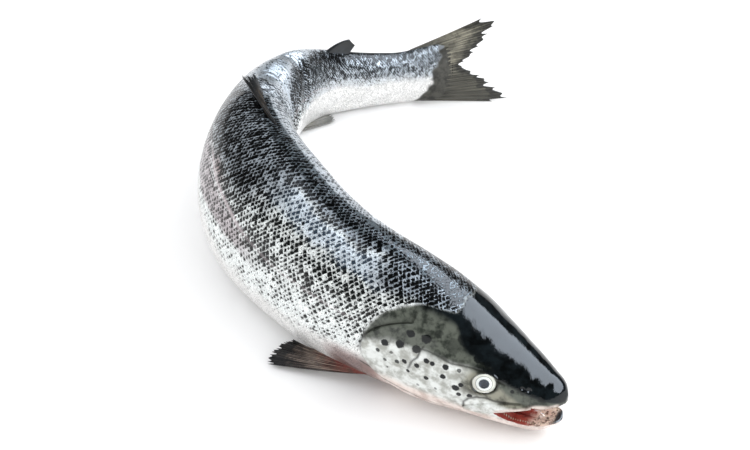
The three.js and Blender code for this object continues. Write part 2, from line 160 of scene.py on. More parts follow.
# Scales: one row is half of a scale's spacing along the body, and the next row is staggered. They
# shrink towards the tail, because the lines of scales that run along the body never end. The rows
# lean, by a share of a row for each mm upwards, and in front the lines sink towards the tail.
SCALE_ROWS = [(0, 1.7), (0.13, 1.7), (0.2, 2.1), (0.3, 2.12), (0.45, 1.9), (0.7, 1.6), (0.85, 1.25), (1, 1.1)]
SCALE_WIDTHS = [
    (0, 5.1), (0.13, 5.1), (0.2, 6.3), (0.28, 6.5), (0.36, 7.3),
    (0.5, 6.8), (0.7, 4.8), (0.85, 3.3), (1, 2.9),
]
SCALE_LEAN = 0.08
SCALE_SINK = [(0, 0), (0.15, 0), (0.33, 2.6), (0.5, 2.2), (1, 2.2)]
SCALE_SWAY = 0.22
# Between others a scale can show next to nothing of its length. These keep the relief and the colours
# from dividing by 0: the shortest length in rows, and a length a little over the full one.
SHORTEST_SCALE = 0.1
FULL_SCALE = 1.06
LATERAL_ANGLE = 6
# Folds of loose skin: mm from one to the next, and the heights of the large and small ones.
FOLD_SPACING = 9.5
FOLD_HEIGHTS = (0.9, 0.4)

# Fins, as in the solid: pairs run from the front ray to the rear one. The root lies "sunk" mm below the
# skin, at "angles" in degrees below the flank. The rays run back and by "slants" outwards, as the fish
# heads at the station "at". With "even" their reach is measured on the slant, and "narrowing" is the
# power by which it changes to the rear. Tips stand at "tip_heights", or "rises" above the root, and
# "droops" arch the rays. Where "ridge" and "wave" are 0, rays don't stand up and the edge doesn't sway.
SPLIT_VARIATION = 0.4
SPLIT_RHYTHM = 2.3
FIN_DEFAULTS = {
    "angles": (-90, -90), "narrowing": 1, "back": 1, "slants": (0, 0), "droops": (0, 0), "even": False,
    "ridge": 0.55, "wave": 0.6, "points_per_ray": 8, "rows": 56, "thin": 0.9,
}
PECTORAL = FIN_DEFAULTS | {
    "rays": 13, "thickness": 5, "splits": 0.07, "stations": (0.2, 0.245), "angles": (43, 43), "sunk": 4,
    "at": 0.2, "root_heights": (20, 24), "tip_heights": (4, 12), "reaches": (90, 44), "narrowing": 1.3,
    "slants": (0.24, -0.16), "even": True, "droops": (-2.2, -2.2), "finish": "dark_pectoral_fin",
}
PELVIC = FIN_DEFAULTS | {
    "rays": 9, "thickness": 4, "splits": 0.08, "stations": (0.535, 0.565), "angles": (64, 72), "sunk": 3,
    "at": 0.565, "root_heights": (7, 5), "tip_heights": (3, 2.2), "reaches": (58, 34), "slants": (0.2, 0.02),
    "finish": "pale_lower_fin",
}
DORSAL = FIN_DEFAULTS | {
    "rays": 11, "thickness": 4.5, "splits": 0.3, "stations": (0.415, 0.525), "sunk": 4, "at": 0.415,
    "rises": (16, 9), "reaches": (88, 22), "narrowing": 0.8, "slants": (0.01, -0.12),
    "finish": "dark_dorsal_fin",
}
ADIPOSE = FIN_DEFAULTS | {
    "rays": 4, "thickness": 5, "splits": 0, "stations": (0.772, 0.806), "sunk": 3, "at": 0.806,
    "rises": (11, 10), "reaches": (25, 8), "droops": (2.6, 0), "ridge": 0, "wave": 0,
    "finish": "fleshy_adipose_fin",
}
ANAL = FIN_DEFAULTS | {
    "rays": 9, "thickness": 4, "splits": 0.08, "stations": (0.692, 0.752), "angles": (90, 90), "sunk": 4,
    "at": 0.692, "root_heights": (3.2, 3.2), "tip_heights": (3, 4), "reaches": (60, 24), "back": 0.77,
    "slants": (-0.64, -0.64), "finish": "pale_lower_fin",
}
TAIL = FIN_DEFAULTS | {
    "rays": 17, "thickness": 7, "splits": 0.13, "station": 0.9, "sunk": 8, "tilt": 12, "rows": 72,
    "finish": "olive_tail_fin",
}
# Each fin has its sizes and its side, 1 for the fish's right. The tail fin has none.
FINS = {
    "pectoral_right": (PECTORAL, 1),
    "pelvic_right": (PELVIC, 1),
    "pectoral_left": (PECTORAL | {"slants": (0.12, -0.28)}, -1),
    "pelvic_left": (PELVIC, -1),
    "dorsal_fin": (DORSAL, 1),
    "adipose_fin": (ADIPOSE, 1),
    "anal_fin": (ANAL, 1),
    "tail_fin": (TAIL, 0),
}
TAIL_ROOT = [(0, 2, 2.5), (0.2, 16, 12), (0.5, 24, 34), (0.8, 18, 54), (1, 2, 56)]
TAIL_TIP = [
    (0, 79, 1.4), (0.06, 95, 6), (0.14, 86, 13), (0.25, 74, 23), (0.36, 65, 31),
    (0.48, 47, 40), (0.58, 54, 49), (0.7, 63, 60), (0.82, 72, 73), (0.93, 79, 87), (1, 66, 90),
]

# Borders on the skin. Each gives an angle above the flank, in degrees, at a station.
BELLY_LINE = [
    (0.2, -14), (0.25, -18), (0.31, -26), (0.4, -25), (0.5, -14), (0.6, -10), (0.7, 10), (0.8, 16), (0.93, 0),
]
LATERAL_LINE = [
    (0.2, 12), (0.28, 9), (0.33, 6), (0.37, 6), (0.41, 10), (0.45, 14),
    (0.5, 20), (0.6, 20), (0.7, 15), (0.93, 0),
]
# The middle of the dark band of the rear, which is partly painted shade, and the far border of the loose
# skin, which is counted on over the back. How strong the silver of the loose skin is, with its painted sheen.
DARKEST_LINE = [(0.6, 40), (0.66, 53), (0.72, 56), (0.78, 70), (0.83, 84), (0.9, 92)]
SILVER_SHEEN_LINE = [
    (0.2, 118), (0.48, 120), (0.53, 175), (0.575, 158), (0.6, 140), (0.66, 118), (0.72, 110), (0.76, 92),
]
SILVER_SHEEN_STRENGTH = [(0.46, 0.6), (0.54, 1), (0.6, 0.7)]
# Where the scaled skin starts, in mm behind the snout at each angle above the flank.
SCALE_EDGE = [
    (-90, 152), (-30, 150), (3, 147), (25, 137), (36, 127),
    (47, 114), (53, 106), (58, 93), (66, 82), (90, 79),
]
# Where the dark crown ends and where the olive cheek ends, in degrees above the flank.
CROWN_LINE = [
    (0, 30), (33, 28), (45, 30), (57, 33), (65, 34), (74, 44), (82, 52), (98, 52), (107, 46), (140, 46),
]
OLIVE_LINE = [
    (0, 10), (30, 12), (45, 18), (63, 22), (85, 21), (99, 18), (107, 15), (116, 13), (136, 6), (150, 0),
]

# Spots of the head: mm behind the snout, height above the table, radius and strength.
HEAD_SPOTS = [
    (110, 82.5, 3.2, 1), (98, 81.5, 3.9, 0.95), (90, 86.5, 3, 0.5), (78, 80.5, 5.8, 0.4),
    (104, 71.5, 3.6, 0.95), (117, 71.5, 3.5, 1), (129, 68.5, 3.1, 1), (95, 64.5, 2.2, 1),
    (90, 63.5, 2, 1), (80, 63.5, 2.5, 1), (102, 57.5, 2.2, 1), (112, 57.5, 2.2, 1),
    (118, 54.5, 2, 0.9), (109, 48.5, 1.7, 1), (94, 47.5, 2, 1), (81, 54.5, 2.4, 1),
    (71, 46.5, 2.9, 1), (68, 40.5, 2.1, 1), (60, 41.5, 2.1, 1), (67, 50.5, 2, 1),
    (70, 62.5, 1.7, 0.8), (59, 73.5, 3.6, 0.9), (40, 61.5, 2, 0.9), (47, 65.5, 2.9, 0.6),
    (31, 50.5, 1.7, 0.9), (134, 59.5, 1.8, 0.9), (128, 52.5, 1.5, 0.8), (126, 45.5, 1.1, 0.8),
    (73, 84.5, 4.5, 0.7), (64, 78.5, 3.9, 0.7), (123, 61.5, 1.5, 0.7), (88, 73.5, 2.7, 0.45),
    (52, 69.5, 2.5, 0.7), (86, 39.5, 1.3, 0.7), (101, 36.5, 1.3, 0.6),
]
SPOT_SEED = 11
SPOT_STRENGTH = 0.92
# Zones of the trunk's spots, more and larger ones above the flank.
SPOT_ZONES = [
    {"count": 60, "stations": (0.2, 0.9), "degrees": (18, 82), "radii": (1, 2.2)},
    {"count": 46, "stations": (0.2, 0.5), "degrees": (-18, 18), "radii": (0.8, 1.7)},
]

# Creases of the head: mm behind the snout and height along each line, then its half width.
CREASES = [
    ([(99, 75), (101, 71), (102, 65), (106, 60), (109, 51)], 1.0),
    ([(99, 73), (94, 72.5), (85, 70.5), (76, 67), (69, 67), (61, 66), (53, 64), (45, 59.5), (37, 55)], 0.8),
    ([(65, 27), (64.5, 33), (61, 38), (55, 41.5), (48, 42), (42, 40), (36, 39.5), (24, 40.5)], 1.1),
    ([(150, 36), (136, 31), (120, 25), (100, 16), (80, 11), (60, 8)], 0.7),
]

# Colours as they look on the fish: the pale rims of the scales and the dark pockets between them,
# or on bare skin the pale and the dark of its mottling.
TONES = {
    "flank": ("#eaeeed", "#141817", "silver flank in front"),
    # Partly a painted reflection: the softbox's sheen on the upper flank, over the flank's own blue silver.
    "sheen": ("#dae4ed", "#3c4957", "blue silver along the upper flank"),
    "back": ("#9aa2aa", "#050708", "dark back"),
    "ridge": ("#616a70", "#040607", "black band along the spine"),
    "belly": ("#e6e5e3", "#cfcecc", "white belly"),
    "blush": ("#b9afb3", "#37312f", "pinkish grey band under the lateral line"),
    # Partly a painted reflection: the softboxes' sheen on the loose skin inside the bend and on the far flank
    # beyond the ridge, over its own silver.
    "silver_sheen": ("#d2d8de", "#626a71", "loose silver skin inside the bend"),
    "rear": ("#b9c1c8", "#23282c", "grey blue flank near the tail"),
    "caudal": ("#45443e", "#2a2925", "scaleless root of the tail fin"),
    "crown": ("#11171a", "#040607", "greenish black crown and snout"),
    "olive": ("#5b5f57", "#2f332e", "olive top of the gill cover"),
    "cheek": ("#dfe2df", "#a9aaa3", "mottled silver cheek"),
    "muzzle": ("#8b8a7c", "#48483e", "grey olive skin before the eye"),
    "lip": ("#d8cbc3", "#9c8c83", "pale lip"),
    "jaw": ("#efe4dc", "#d2bfb5", "pinkish white underside of the jaw"),
}
SKIN = "wet_salmon_skin"
LINING = "wet_mouth_lining"

# Points closer than this are one point, in metres. Round the cut lips it is wider.
WELD_GAP = 2e-6
LIP_WELD_GAP = 0.12 * MM


def linear(hex_colour):
    """The linear colour of an sRGB hex value."""
    shares = np.array([int(hex_colour[i:i + 2], 16) / 255 for i in (1, 3, 5)])
    return np.where(shares <= 0.04045, shares / 12.92, ((shares + 0.055) / 1.055) ** 2.4)


def mix(start, end, share):
    return start + (end - start) * share


def smooth(value):
    share = np.clip(value, 0, 1)
    return share * share * (3 - 2 * share)


def after(value, start, soft):
    """0 up to a start, and from there over a soft stretch up to 1."""
    return smooth((value - start) / soft)


def before(value, start, soft):
    """1 up to a start, and from there over a soft stretch down to 0."""
    return 1 - after(value, start, soft)


def band(value, start, end, soft):
    """1 between a start and an end, 0 outside them, with borders as wide as soft."""
    return after(value, start - soft / 2, soft) * before(value, end - soft / 2, soft)


def hill(value, middle, reach):
    """1 in the middle, and less and less further from it."""
    return np.exp(-((value - middle) / reach) ** 2)


def along_line(value, line):
    """A line's second number at a value of the first."""
    return np.interp(value, *zip(*line))


def curve_through(rows, column=1):
    """Monotone cubic through rows of (x, value, ...); it never overshoots between rows."""
    x = np.array([row[0] for row in rows], float)
    y = np.array([row[column] for row in rows], float)
    slopes = np.diff(y) / np.diff(x)
    product = slopes[:-1] * slopes[1:]
    total = slopes[:-1] + slopes[1:]
    inner = np.where(product > 0, 2 * product / np.where(total == 0, 1, total), 0)
    tangents = np.concatenate([slopes[:1], inner, slopes[-1:]])

    def value(at):
        place = np.clip(at, x[0], x[-1])
        i = np.clip(np.searchsorted(x, place, side="right") - 1, 0, len(x) - 2)
        width = x[i + 1] - x[i]
        t = (place - x[i]) / width
        ends = (1 + 2 * t) * (1 - t) ** 2 * y[i] + t * t * (3 - 2 * t) * y[i + 1]
        return ends + t * (1 - t) * ((1 - t) * tangents[i] - t * tangents[i + 1]) * width

    return value


heading = curve_through(HEADING)
depth = curve_through(SECTIONS, 1)
width = curve_through(SECTIONS, 2)
lift = curve_through(SECTIONS, 3)
lean = curve_through(LEAN)
sag = curve_through(SAG)
belly_line = curve_through(BELLY_LINE)
lateral_line = curve_through(LATERAL_LINE)
scale_edge = curve_through(SCALE_EDGE)
crown_line = curve_through(CROWN_LINE)
olive_line = curve_through(OLIVE_LINE)
scale_row = curve_through(SCALE_ROWS)
scale_width = curve_through(SCALE_WIDTHS)
scale_sink = curve_through(SCALE_SINK)

SPINE_STEP = (LAST_STATION - FIRST_STATION) / SPINE_STEPS


def spine_points():
    """The backbone's plan: the headings added up from the snout."""
    angles = np.radians(heading(FIRST_STATION + (np.arange(SPINE_STEPS) + 0.5) * SPINE_STEP))
    strides = np.stack([np.cos(angles), np.sin(angles)], 1) * SPINE_STEP * LENGTH
    return np.vstack([np.zeros((1, 2)), np.cumsum(strides, 0)])


SPINE = spine_points()


def frame_at(station):
    """The point of the backbone on the table, and the backward and rightward directions."""
    station = np.asarray(station, float)
    place = (np.clip(station, FIRST_STATION, LAST_STATION) - FIRST_STATION) / SPINE_STEP
    i = np.clip(np.floor(place).astype(int), 0, SPINE_STEPS - 1)
    flat = SPINE[i] + (SPINE[i + 1] - SPINE[i]) * (place - i)[..., None]
    angle = np.radians(heading(station))
    nought = np.zeros_like(angle)
    point = np.concatenate([flat, nought[..., None]], -1)
    back = np.stack([np.cos(angle), np.sin(angle), nought], -1)
    right = np.stack([-np.sin(angle), np.cos(angle), nought], -1)
    return point, back, right


def gill_edge(height):
    """The station of the gill cover's edge at a height on the section, from -1 to 1."""
    return GILL["rear"] - GILL["curve"] * (np.minimum(height, GILL["top"]) - GILL["middle"]) ** 2


def gill_shown(height):
    """How far the gill cover stands free at a height: it fades out above and at the throat."""
    top = smooth((GILL["top"] + GILL["top_reach"] - height) / GILL["top_fade"])
    return top * smooth((height + 1) / GILL["bottom_fade"])


def relief(station, angle):
    """How far the skin stands proud: the gill cover swells and then steps down."""
    height = np.sin(angle)
    behind = station - gill_edge(height)
    rise = after(behind, -GILL["rise"], GILL["rise"])
    fall = smooth(behind / GILL["fall"])
    dip = GILL["dip"] * fall * before(behind, 0, GILL["rise"])
    return GILL["step"] * gill_shown(height) * (rise * (1 - fall) - dip)


def section_at(station):
    """Half the depth, half the width, the roll and the height of the middle of a section."""
    roll = np.radians(lean(station))
    half_depth = depth(station) / 2
    half_width = width(station) / 2
    middle = lift(station) + np.hypot(half_depth * np.cos(roll), half_width * np.sin(roll))
    return half_depth, half_width, roll, middle


def skin_point(station, angle, proud=0.0, swell=None):
    """A point of the skin. The angle goes round the section: 0 is the fish's right, 90 degrees its back."""
    point, _, right = frame_at(station)
    half_depth, half_width, roll, middle = section_at(station)
    out = proud + (relief(station, angle) if swell is None else swell)
    across = (half_width + out) * np.cos(angle) * (1 - sag(station) * np.sin(angle))
    above = (half_depth + out) * np.sin(angle)
    point = point + right * (across * np.cos(roll) - above * np.sin(roll))[..., None]
    point[..., 2] = np.maximum(0, middle + across * np.sin(roll) + above * np.cos(roll))
    return point


def locate(points, rounds=6):
    """The station and angle of points near the skin."""
    station = np.full(len(points), 0.1)
    for _ in range(rounds):
        origin, back, _ = frame_at(station)
        station = station + ((points - origin) * back).sum(-1) / LENGTH
    origin, _, right = frame_at(station)
    half_depth, half_width, roll, middle = section_at(station)
    side = ((points - origin) * right).sum(-1)
    rise = points[:, 2] - middle
    sine = (rise * np.cos(roll) - side * np.sin(roll)) / half_depth
    across = side * np.cos(roll) + rise * np.sin(roll)
    return station, np.arctan2(sine, across / (half_width * (1 - sag(station) * np.clip(sine, -1, 1))))


def angle_at_height(station, height, side):
    """The angle on a section where the skin is at a height above the table."""
    half_depth, _, _, middle = section_at(np.asarray(station, float))
    rise = np.arcsin(np.clip((height - middle) / half_depth, -1, 1))
    return rise if side > 0 else np.pi - rise


def eye_place(side):
    """The centre of an eye, sunk below the skin, and the direction that it looks."""
    station = np.float64(EYE["behind"] / LENGTH)
    angle = angle_at_height(station, EYE["height"], side)
    step = 0.004
    along = skin_point(station + step, angle) - skin_point(station - step, angle)
    around = skin_point(station, angle + step) - skin_point(station, angle - step)
    normal = np.cross(around, along)
    normal /= np.linalg.norm(normal)
    return skin_point(station, angle) - normal * EYE["sunk"], normal


def anchor():
    """What to add to this script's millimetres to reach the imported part's place."""
    low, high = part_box("eye_right")
    return np.array((low + high) / 2) / MM - eye_place(1)[0]


ANCHOR = anchor()


def metres(points):
    return (np.asarray(points) + ANCHOR) * MM


def cloud(points, size, seed=0):
    """Soft noise from -1 to 1 whose lumps measure about size."""
    place = points / size + seed * 17.3
    cell = np.floor(place)
    share = smooth(place - cell)
    total = np.zeros(len(points))
    for corner in itertools.product((0, 1), repeat=3):
        at = cell + corner
        value = np.sin(at @ np.array([12.9898, 78.233, 37.719])) * 43758.5453
        weight = np.prod(np.where(corner, share, 1 - share), axis=-1)
        total += weight * (value - np.floor(value))
    return 2 * total - 1


def lumpy(points, lumps):
    """Soft noise added up from lumps, each with a height, a size and a seed."""
    return sum(height * cloud(points, size, seed) for height, size, seed in lumps)


def fold(angle):
    """Degrees above the flank, the same on both sides: 90 at the back and -90 at the belly."""
    return np.degrees(np.arcsin(np.clip(np.sin(angle), -1, 1)))


def flank_arcs():
    """A function for the distance over the skin from the lateral line, at a station and a fold."""
    stations = np.linspace(NOSE_END, 0.96, 240)
    folds = np.linspace(-90, 90, 181)
    points = skin_point(stations[:, None], np.radians(folds)[None, :], swell=0)
    steps = np.linalg.norm(np.diff(points, axis=1), axis=-1)
    arcs = np.concatenate([np.zeros((len(stations), 1)), np.cumsum(steps, 1)], 1)
    arcs -= arcs[:, [90 + LATERAL_ANGLE]]

    def value(station, degrees):
        row = np.clip((station - stations[0]) / (stations[1] - stations[0]), 0, len(stations) - 1.001)
        column = np.clip(degrees + 90, 0, 179.999)
        i, j = np.floor(row).astype(int), np.floor(column).astype(int)
        s, t = row - i, column - j
        near = arcs[i, j] * (1 - t) + arcs[i, j + 1] * t
        far = arcs[i + 1, j] * (1 - t) + arcs[i + 1, j + 1] * t
        return near * (1 - s) + far * s

    return value


flank_arc = flank_arcs()


def row_counts():
    """A function for the number of rows of scales between the head's end and a station."""
    ahead, behind = 400, 1200
    stations = HEAD_END + np.arange(-ahead, behind) * RING_SPACING / 2 / LENGTH
    middles = (stations[:-1] + stations[1:]) / 2
    counts = np.concatenate([[0], np.cumsum(np.diff(stations) * LENGTH / scale_row(middles))])
    counts -= counts[ahead]
    return lambda station: np.interp(station, stations, counts)


rows_along = row_counts()


def scale_place(station, angle):
    """Rows along and scales across, on the lattice of the scales, which wavers a little."""
    height = flank_arc(station, fold(angle))
    along = rows_along(station) + SCALE_LEAN * height
    across = height / scale_width(station) + scale_sink(station)
    slow = SCALE_SWAY * np.sin(0.9 * across + 0.37 * along)
    quick = SCALE_SWAY * np.sin(1.9 * across - 0.61 * along + 1.7)
    return along + slow + 0.5 * quick, across + 0.5 * slow - 0.3 * quick


def scale_share(along, across):
    """How far along its scale a point lies, from 0 where the scale comes out to 1 at its rim."""
    row = np.floor(along)
    share = along - row
    odd = np.mod(row, 2)
    own = np.mod(across + odd / 2, 1) - 0.5
    other = np.mod(across + (1 - odd) / 2, 1) - 0.5
    own_rim, other_rim = 1 - 4 * own ** 2, 1 - 4 * other ** 2
    on_own = share > other_rim
    own_share = (share - other_rim) / np.maximum(1 + own_rim - other_rim, SHORTEST_SCALE)
    other_share = (share + 1 - own_rim) / np.maximum(1 + other_rim - own_rim, SHORTEST_SCALE)
    return np.clip(np.where(on_own, own_share, other_share), 0, 1)


def scaliness(station, angle):
    """Millimetres behind the border of the scaled skin, less than 0 on the bare head."""
    degrees = fold(angle)
    border = scale_edge(degrees)
    covered = np.maximum(border, gill_edge(np.sin(angle)) * LENGTH)
    return station * LENGTH - np.where(degrees < 20, covered, border)


def distance_to_line(points, line):
    """The distance of points from a polyline."""
    nearest = np.full(len(points), 1e9)
    for start, end in zip(line[:-1], line[1:]):
        span = end - start
        share = np.clip((points - start) @ span / (span @ span), 0, 1)
        nearest = np.minimum(nearest, np.linalg.norm(points - start - share[:, None] * span, axis=1))
    return nearest


def head_point(behind, height, side):
    """A point of the head's skin, from its distance behind the snout and its height above the table."""
    return skin_point(behind / LENGTH, angle_at_height(behind / LENGTH, height, side))


def head_line(corners, side):
    """A line over the head's skin through (mm behind the snout, height) corners, finely divided."""
    corners = np.array(corners, float)
    shares = np.linspace(0, len(corners) - 1, 6 * len(corners))
    return head_point(*[np.interp(shares, range(len(corners)), column) for column in corners.T], side)


def lip_reach(points, lip):
    """The distance of each point from a lip, on the side where it is nearer."""
    return np.minimum(*[distance_to_line(points, head_line(lip[1:5], side)) for side in SIDES])


def crease_depths(points):
    """How deep each point lies in the head's creases, from 0 to 1."""
    depths = np.zeros(len(points))
    for (corners, half_width), side in itertools.product(CREASES, SIDES):
        reach = distance_to_line(points, head_line(corners, side))
        depths = np.maximum(depths, 1 - smooth(reach / (1.6 * half_width)))
    return depths


def eye_reach(points):
    """The distance of each point from the axis of the nearer eye. The eye's opening is a little flat,
    so a distance up or down counts for more."""
    reaches = []
    for side in SIDES:
        centre, normal = eye_place(side)
        offset = points - centre
        along = offset @ normal
        upward = np.array([0, 0, 1]) - normal * normal[2]
        upward /= np.linalg.norm(upward)
        flat = np.linalg.norm(offset - along[:, None] * normal, axis=1)
        flat = np.hypot(flat, (EYE_FLATNESS ** 2 - 1) ** 0.5 * (offset @ upward))
        reaches.append(np.where(np.abs(along) < 12, flat, 1e3))
    return np.minimum(*reaches)


def head_relief(points):
    """The head's fine form: eye sockets and their rims, nostrils, creases and soft lumps."""
    reach = eye_reach(points)
    socket = SOCKET["depth"] * before(reach, SOCKET["radius"], SOCKET["soft"])
    rim = EYE_RIM["height"] * hill(reach, EYE_RIM["radius"], EYE_RIM["soft"])
    pits = np.zeros(len(points))
    for (behind, height, radius), side in itertools.product(NOSTRILS, SIDES):
        away = np.linalg.norm(points - head_point(behind, height, side), axis=1) / radius
        pits += NOSTRIL_DEPTH * before(away, 0.3, 1)
    lumps = lumpy(points, HEAD_LUMPS) * after(reach, 10, 3)
    return rim - socket - pits - CREASE_DEPTH * crease_depths(points) + lumps


def fold_relief(station, angle):
    """Folds of loose skin across the back, where the inside of the bend pushes it together."""
    degrees = np.degrees(angle)
    along = after(station, 0.5, 0.06) * before(station, 0.68, 0.07)
    around = after(degrees, 60, 35) * before(degrees, 165, 35)
    phase = station * LENGTH / FOLD_SPACING + 0.9 * np.sin(degrees / 23) + 0.8 * np.sin(station * 71)
    large, small = FOLD_HEIGHTS
    return along * around * (large * np.sin(2 * np.pi * phase) + small * np.sin(4.3 * np.pi * phase + 1))


def trunk_relief(station, angle, scale_height):
    """The scales and the folds of the skin behind the head. At the tail the skin sinks into the fin."""
    scales = scale_height * (scale_share(*scale_place(station, angle)) - 0.5)
    scales *= after(scaliness(station, angle), 0, 3) * after(fold(angle), -80, 25)
    scales *= before(station, 0.54, 0.12)
    return scales + fold_relief(station, angle) - 2 * after(station, 0.928, 0.02)


def read_points(mesh):
    flat = np.empty(len(mesh.vertices) * 3, np.float32)
    mesh.vertices.foreach_get("co", flat)
    return flat.reshape(-1, 3).astype(float)


def write_points(mesh, points):
    mesh.vertices.foreach_set("co", np.asarray(points, np.float32).ravel())
    mesh.update()


def finished(shape, name):
    """The mesh of a shape, which is freed."""
    mesh = bpy.data.meshes.new(name)
    shape.to_mesh(mesh)
    shape.free()
    return mesh


def blank_sheet(name, rows, columns):
    """A flat grid, and the row and column of each of its points."""
    sheet = bmesh.new()
    bmesh.ops.create_grid(sheet, x_segments=columns, y_segments=rows, size=1)
    mesh = finished(sheet, name)
    flat = read_points(mesh)
    column = np.rint((flat[:, 0] + 1) / 2 * columns).astype(int)
    row = np.rint((flat[:, 1] + 1) / 2 * rows).astype(int)
    return mesh, row, column


def ball(name, segments, rings, cut=None):
    """A ball of radius 1. A cut drops what is below that height and closes the ball flat there."""
    shape = bmesh.new()
    bmesh.ops.create_uvsphere(shape, u_segments=segments, v_segments=rings, radius=1)
    if cut is not None:
        whole = shape.verts[:] + shape.edges[:] + shape.faces[:]
        bmesh.ops.bisect_plane(shape, geom=whole, plane_co=(0, 0, cut), plane_no=(0, 0, -1), clear_outer=True)
        bmesh.ops.holes_fill(shape, edges=[e for e in shape.edges if e.is_boundary], sides=0)
    return finished(shape, name)


def write_colour(mesh, name, values):
    """A colour for each point, from two to four columns."""
    filled = np.ones((len(mesh.vertices), 4), np.float32)
    filled[:, :values.shape[1]] = values
    layer = mesh.color_attributes.new(name, "FLOAT_COLOR", "POINT")
    layer.data.foreach_set("color", filled.ravel())


def write_uv(mesh, name, values):
    """A UV map from one pair of numbers for each point."""
    corners = np.empty(len(mesh.loops), np.int32)
    mesh.loops.foreach_get("vertex_index", corners)
    layer = mesh.uv_layers.new(name=name)
    layer.uv.foreach_set("vector", np.asarray(values, np.float32)[corners].ravel())


def weld(mesh, close_ends=False):
    """Joins the points that coincide, closes open ends if that is asked, and turns the faces outwards."""
    shape = bmesh.new()
    shape.from_mesh(mesh)
    bmesh.ops.remove_doubles(shape, verts=shape.verts, dist=WELD_GAP)
    if close_ends:
        bmesh.ops.holes_fill(shape, edges=[e for e in shape.edges if e.is_boundary], sides=0)
    bmesh.ops.recalc_face_normals(shape, faces=shape.faces)
    shape.to_mesh(mesh)
    shape.free()


def add_object(name, data):
    """A new object in the scene."""
    made = bpy.data.objects.new(name, data)
    bpy.context.scene.collection.objects.link(made)
    return made


def add_piece(mesh, finish, slot, *nodes):
    """Makes a finished piece of a mesh: its object and material, and hides the imported parts that it stands
    for. The slot is not used.
    """
    piece = add_object(mesh.name, mesh)
    mesh.shade_smooth()
    mesh.materials.append(material(finish))
    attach(piece, BODY)
    if nodes:
        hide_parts(*nodes)


def body_spots():
    """Seeded spots of the trunk: points on the skin, each with a radius and strength."""
    draw = np.random.default_rng(SPOT_SEED)
    station, degrees, radius = [
        np.concatenate([draw.uniform(*zone[measure], zone["count"]) for zone in SPOT_ZONES])
        for measure in ("stations", "degrees", "radii")
    ]
    mirrored = draw.random(len(radius)) < 0.5
    angle = np.radians(np.where(mirrored, 180 - degrees, degrees))
    return skin_point(station, angle), radius, np.full(len(radius), SPOT_STRENGTH)


def head_spots():
    """The head's spots on both sides."""
    spots = list(itertools.product(HEAD_SPOTS, SIDES))
    centres = [head_point(behind, height, side) for (behind, height, _, _), side in spots]
    return centres, [radius for (_, _, radius, _), _ in spots], [strength for (*_, strength), _ in spots]


def spot_field(points):
    """How near each point is to a spot: 1 in its middle and 0.5 at its edge. Also that spot's strength."""
    field = np.zeros(len(points))
    strength = np.zeros(len(points))
    for spots in (head_spots(), body_spots()):
        for centre, radius, strong in zip(*spots):
            value = 1 - np.linalg.norm(points - centre, axis=1) / (2 * radius)
            nearer = value > field
            field[nearer] = value[nearer]
            strength[nearer] = strong
    return field, strength


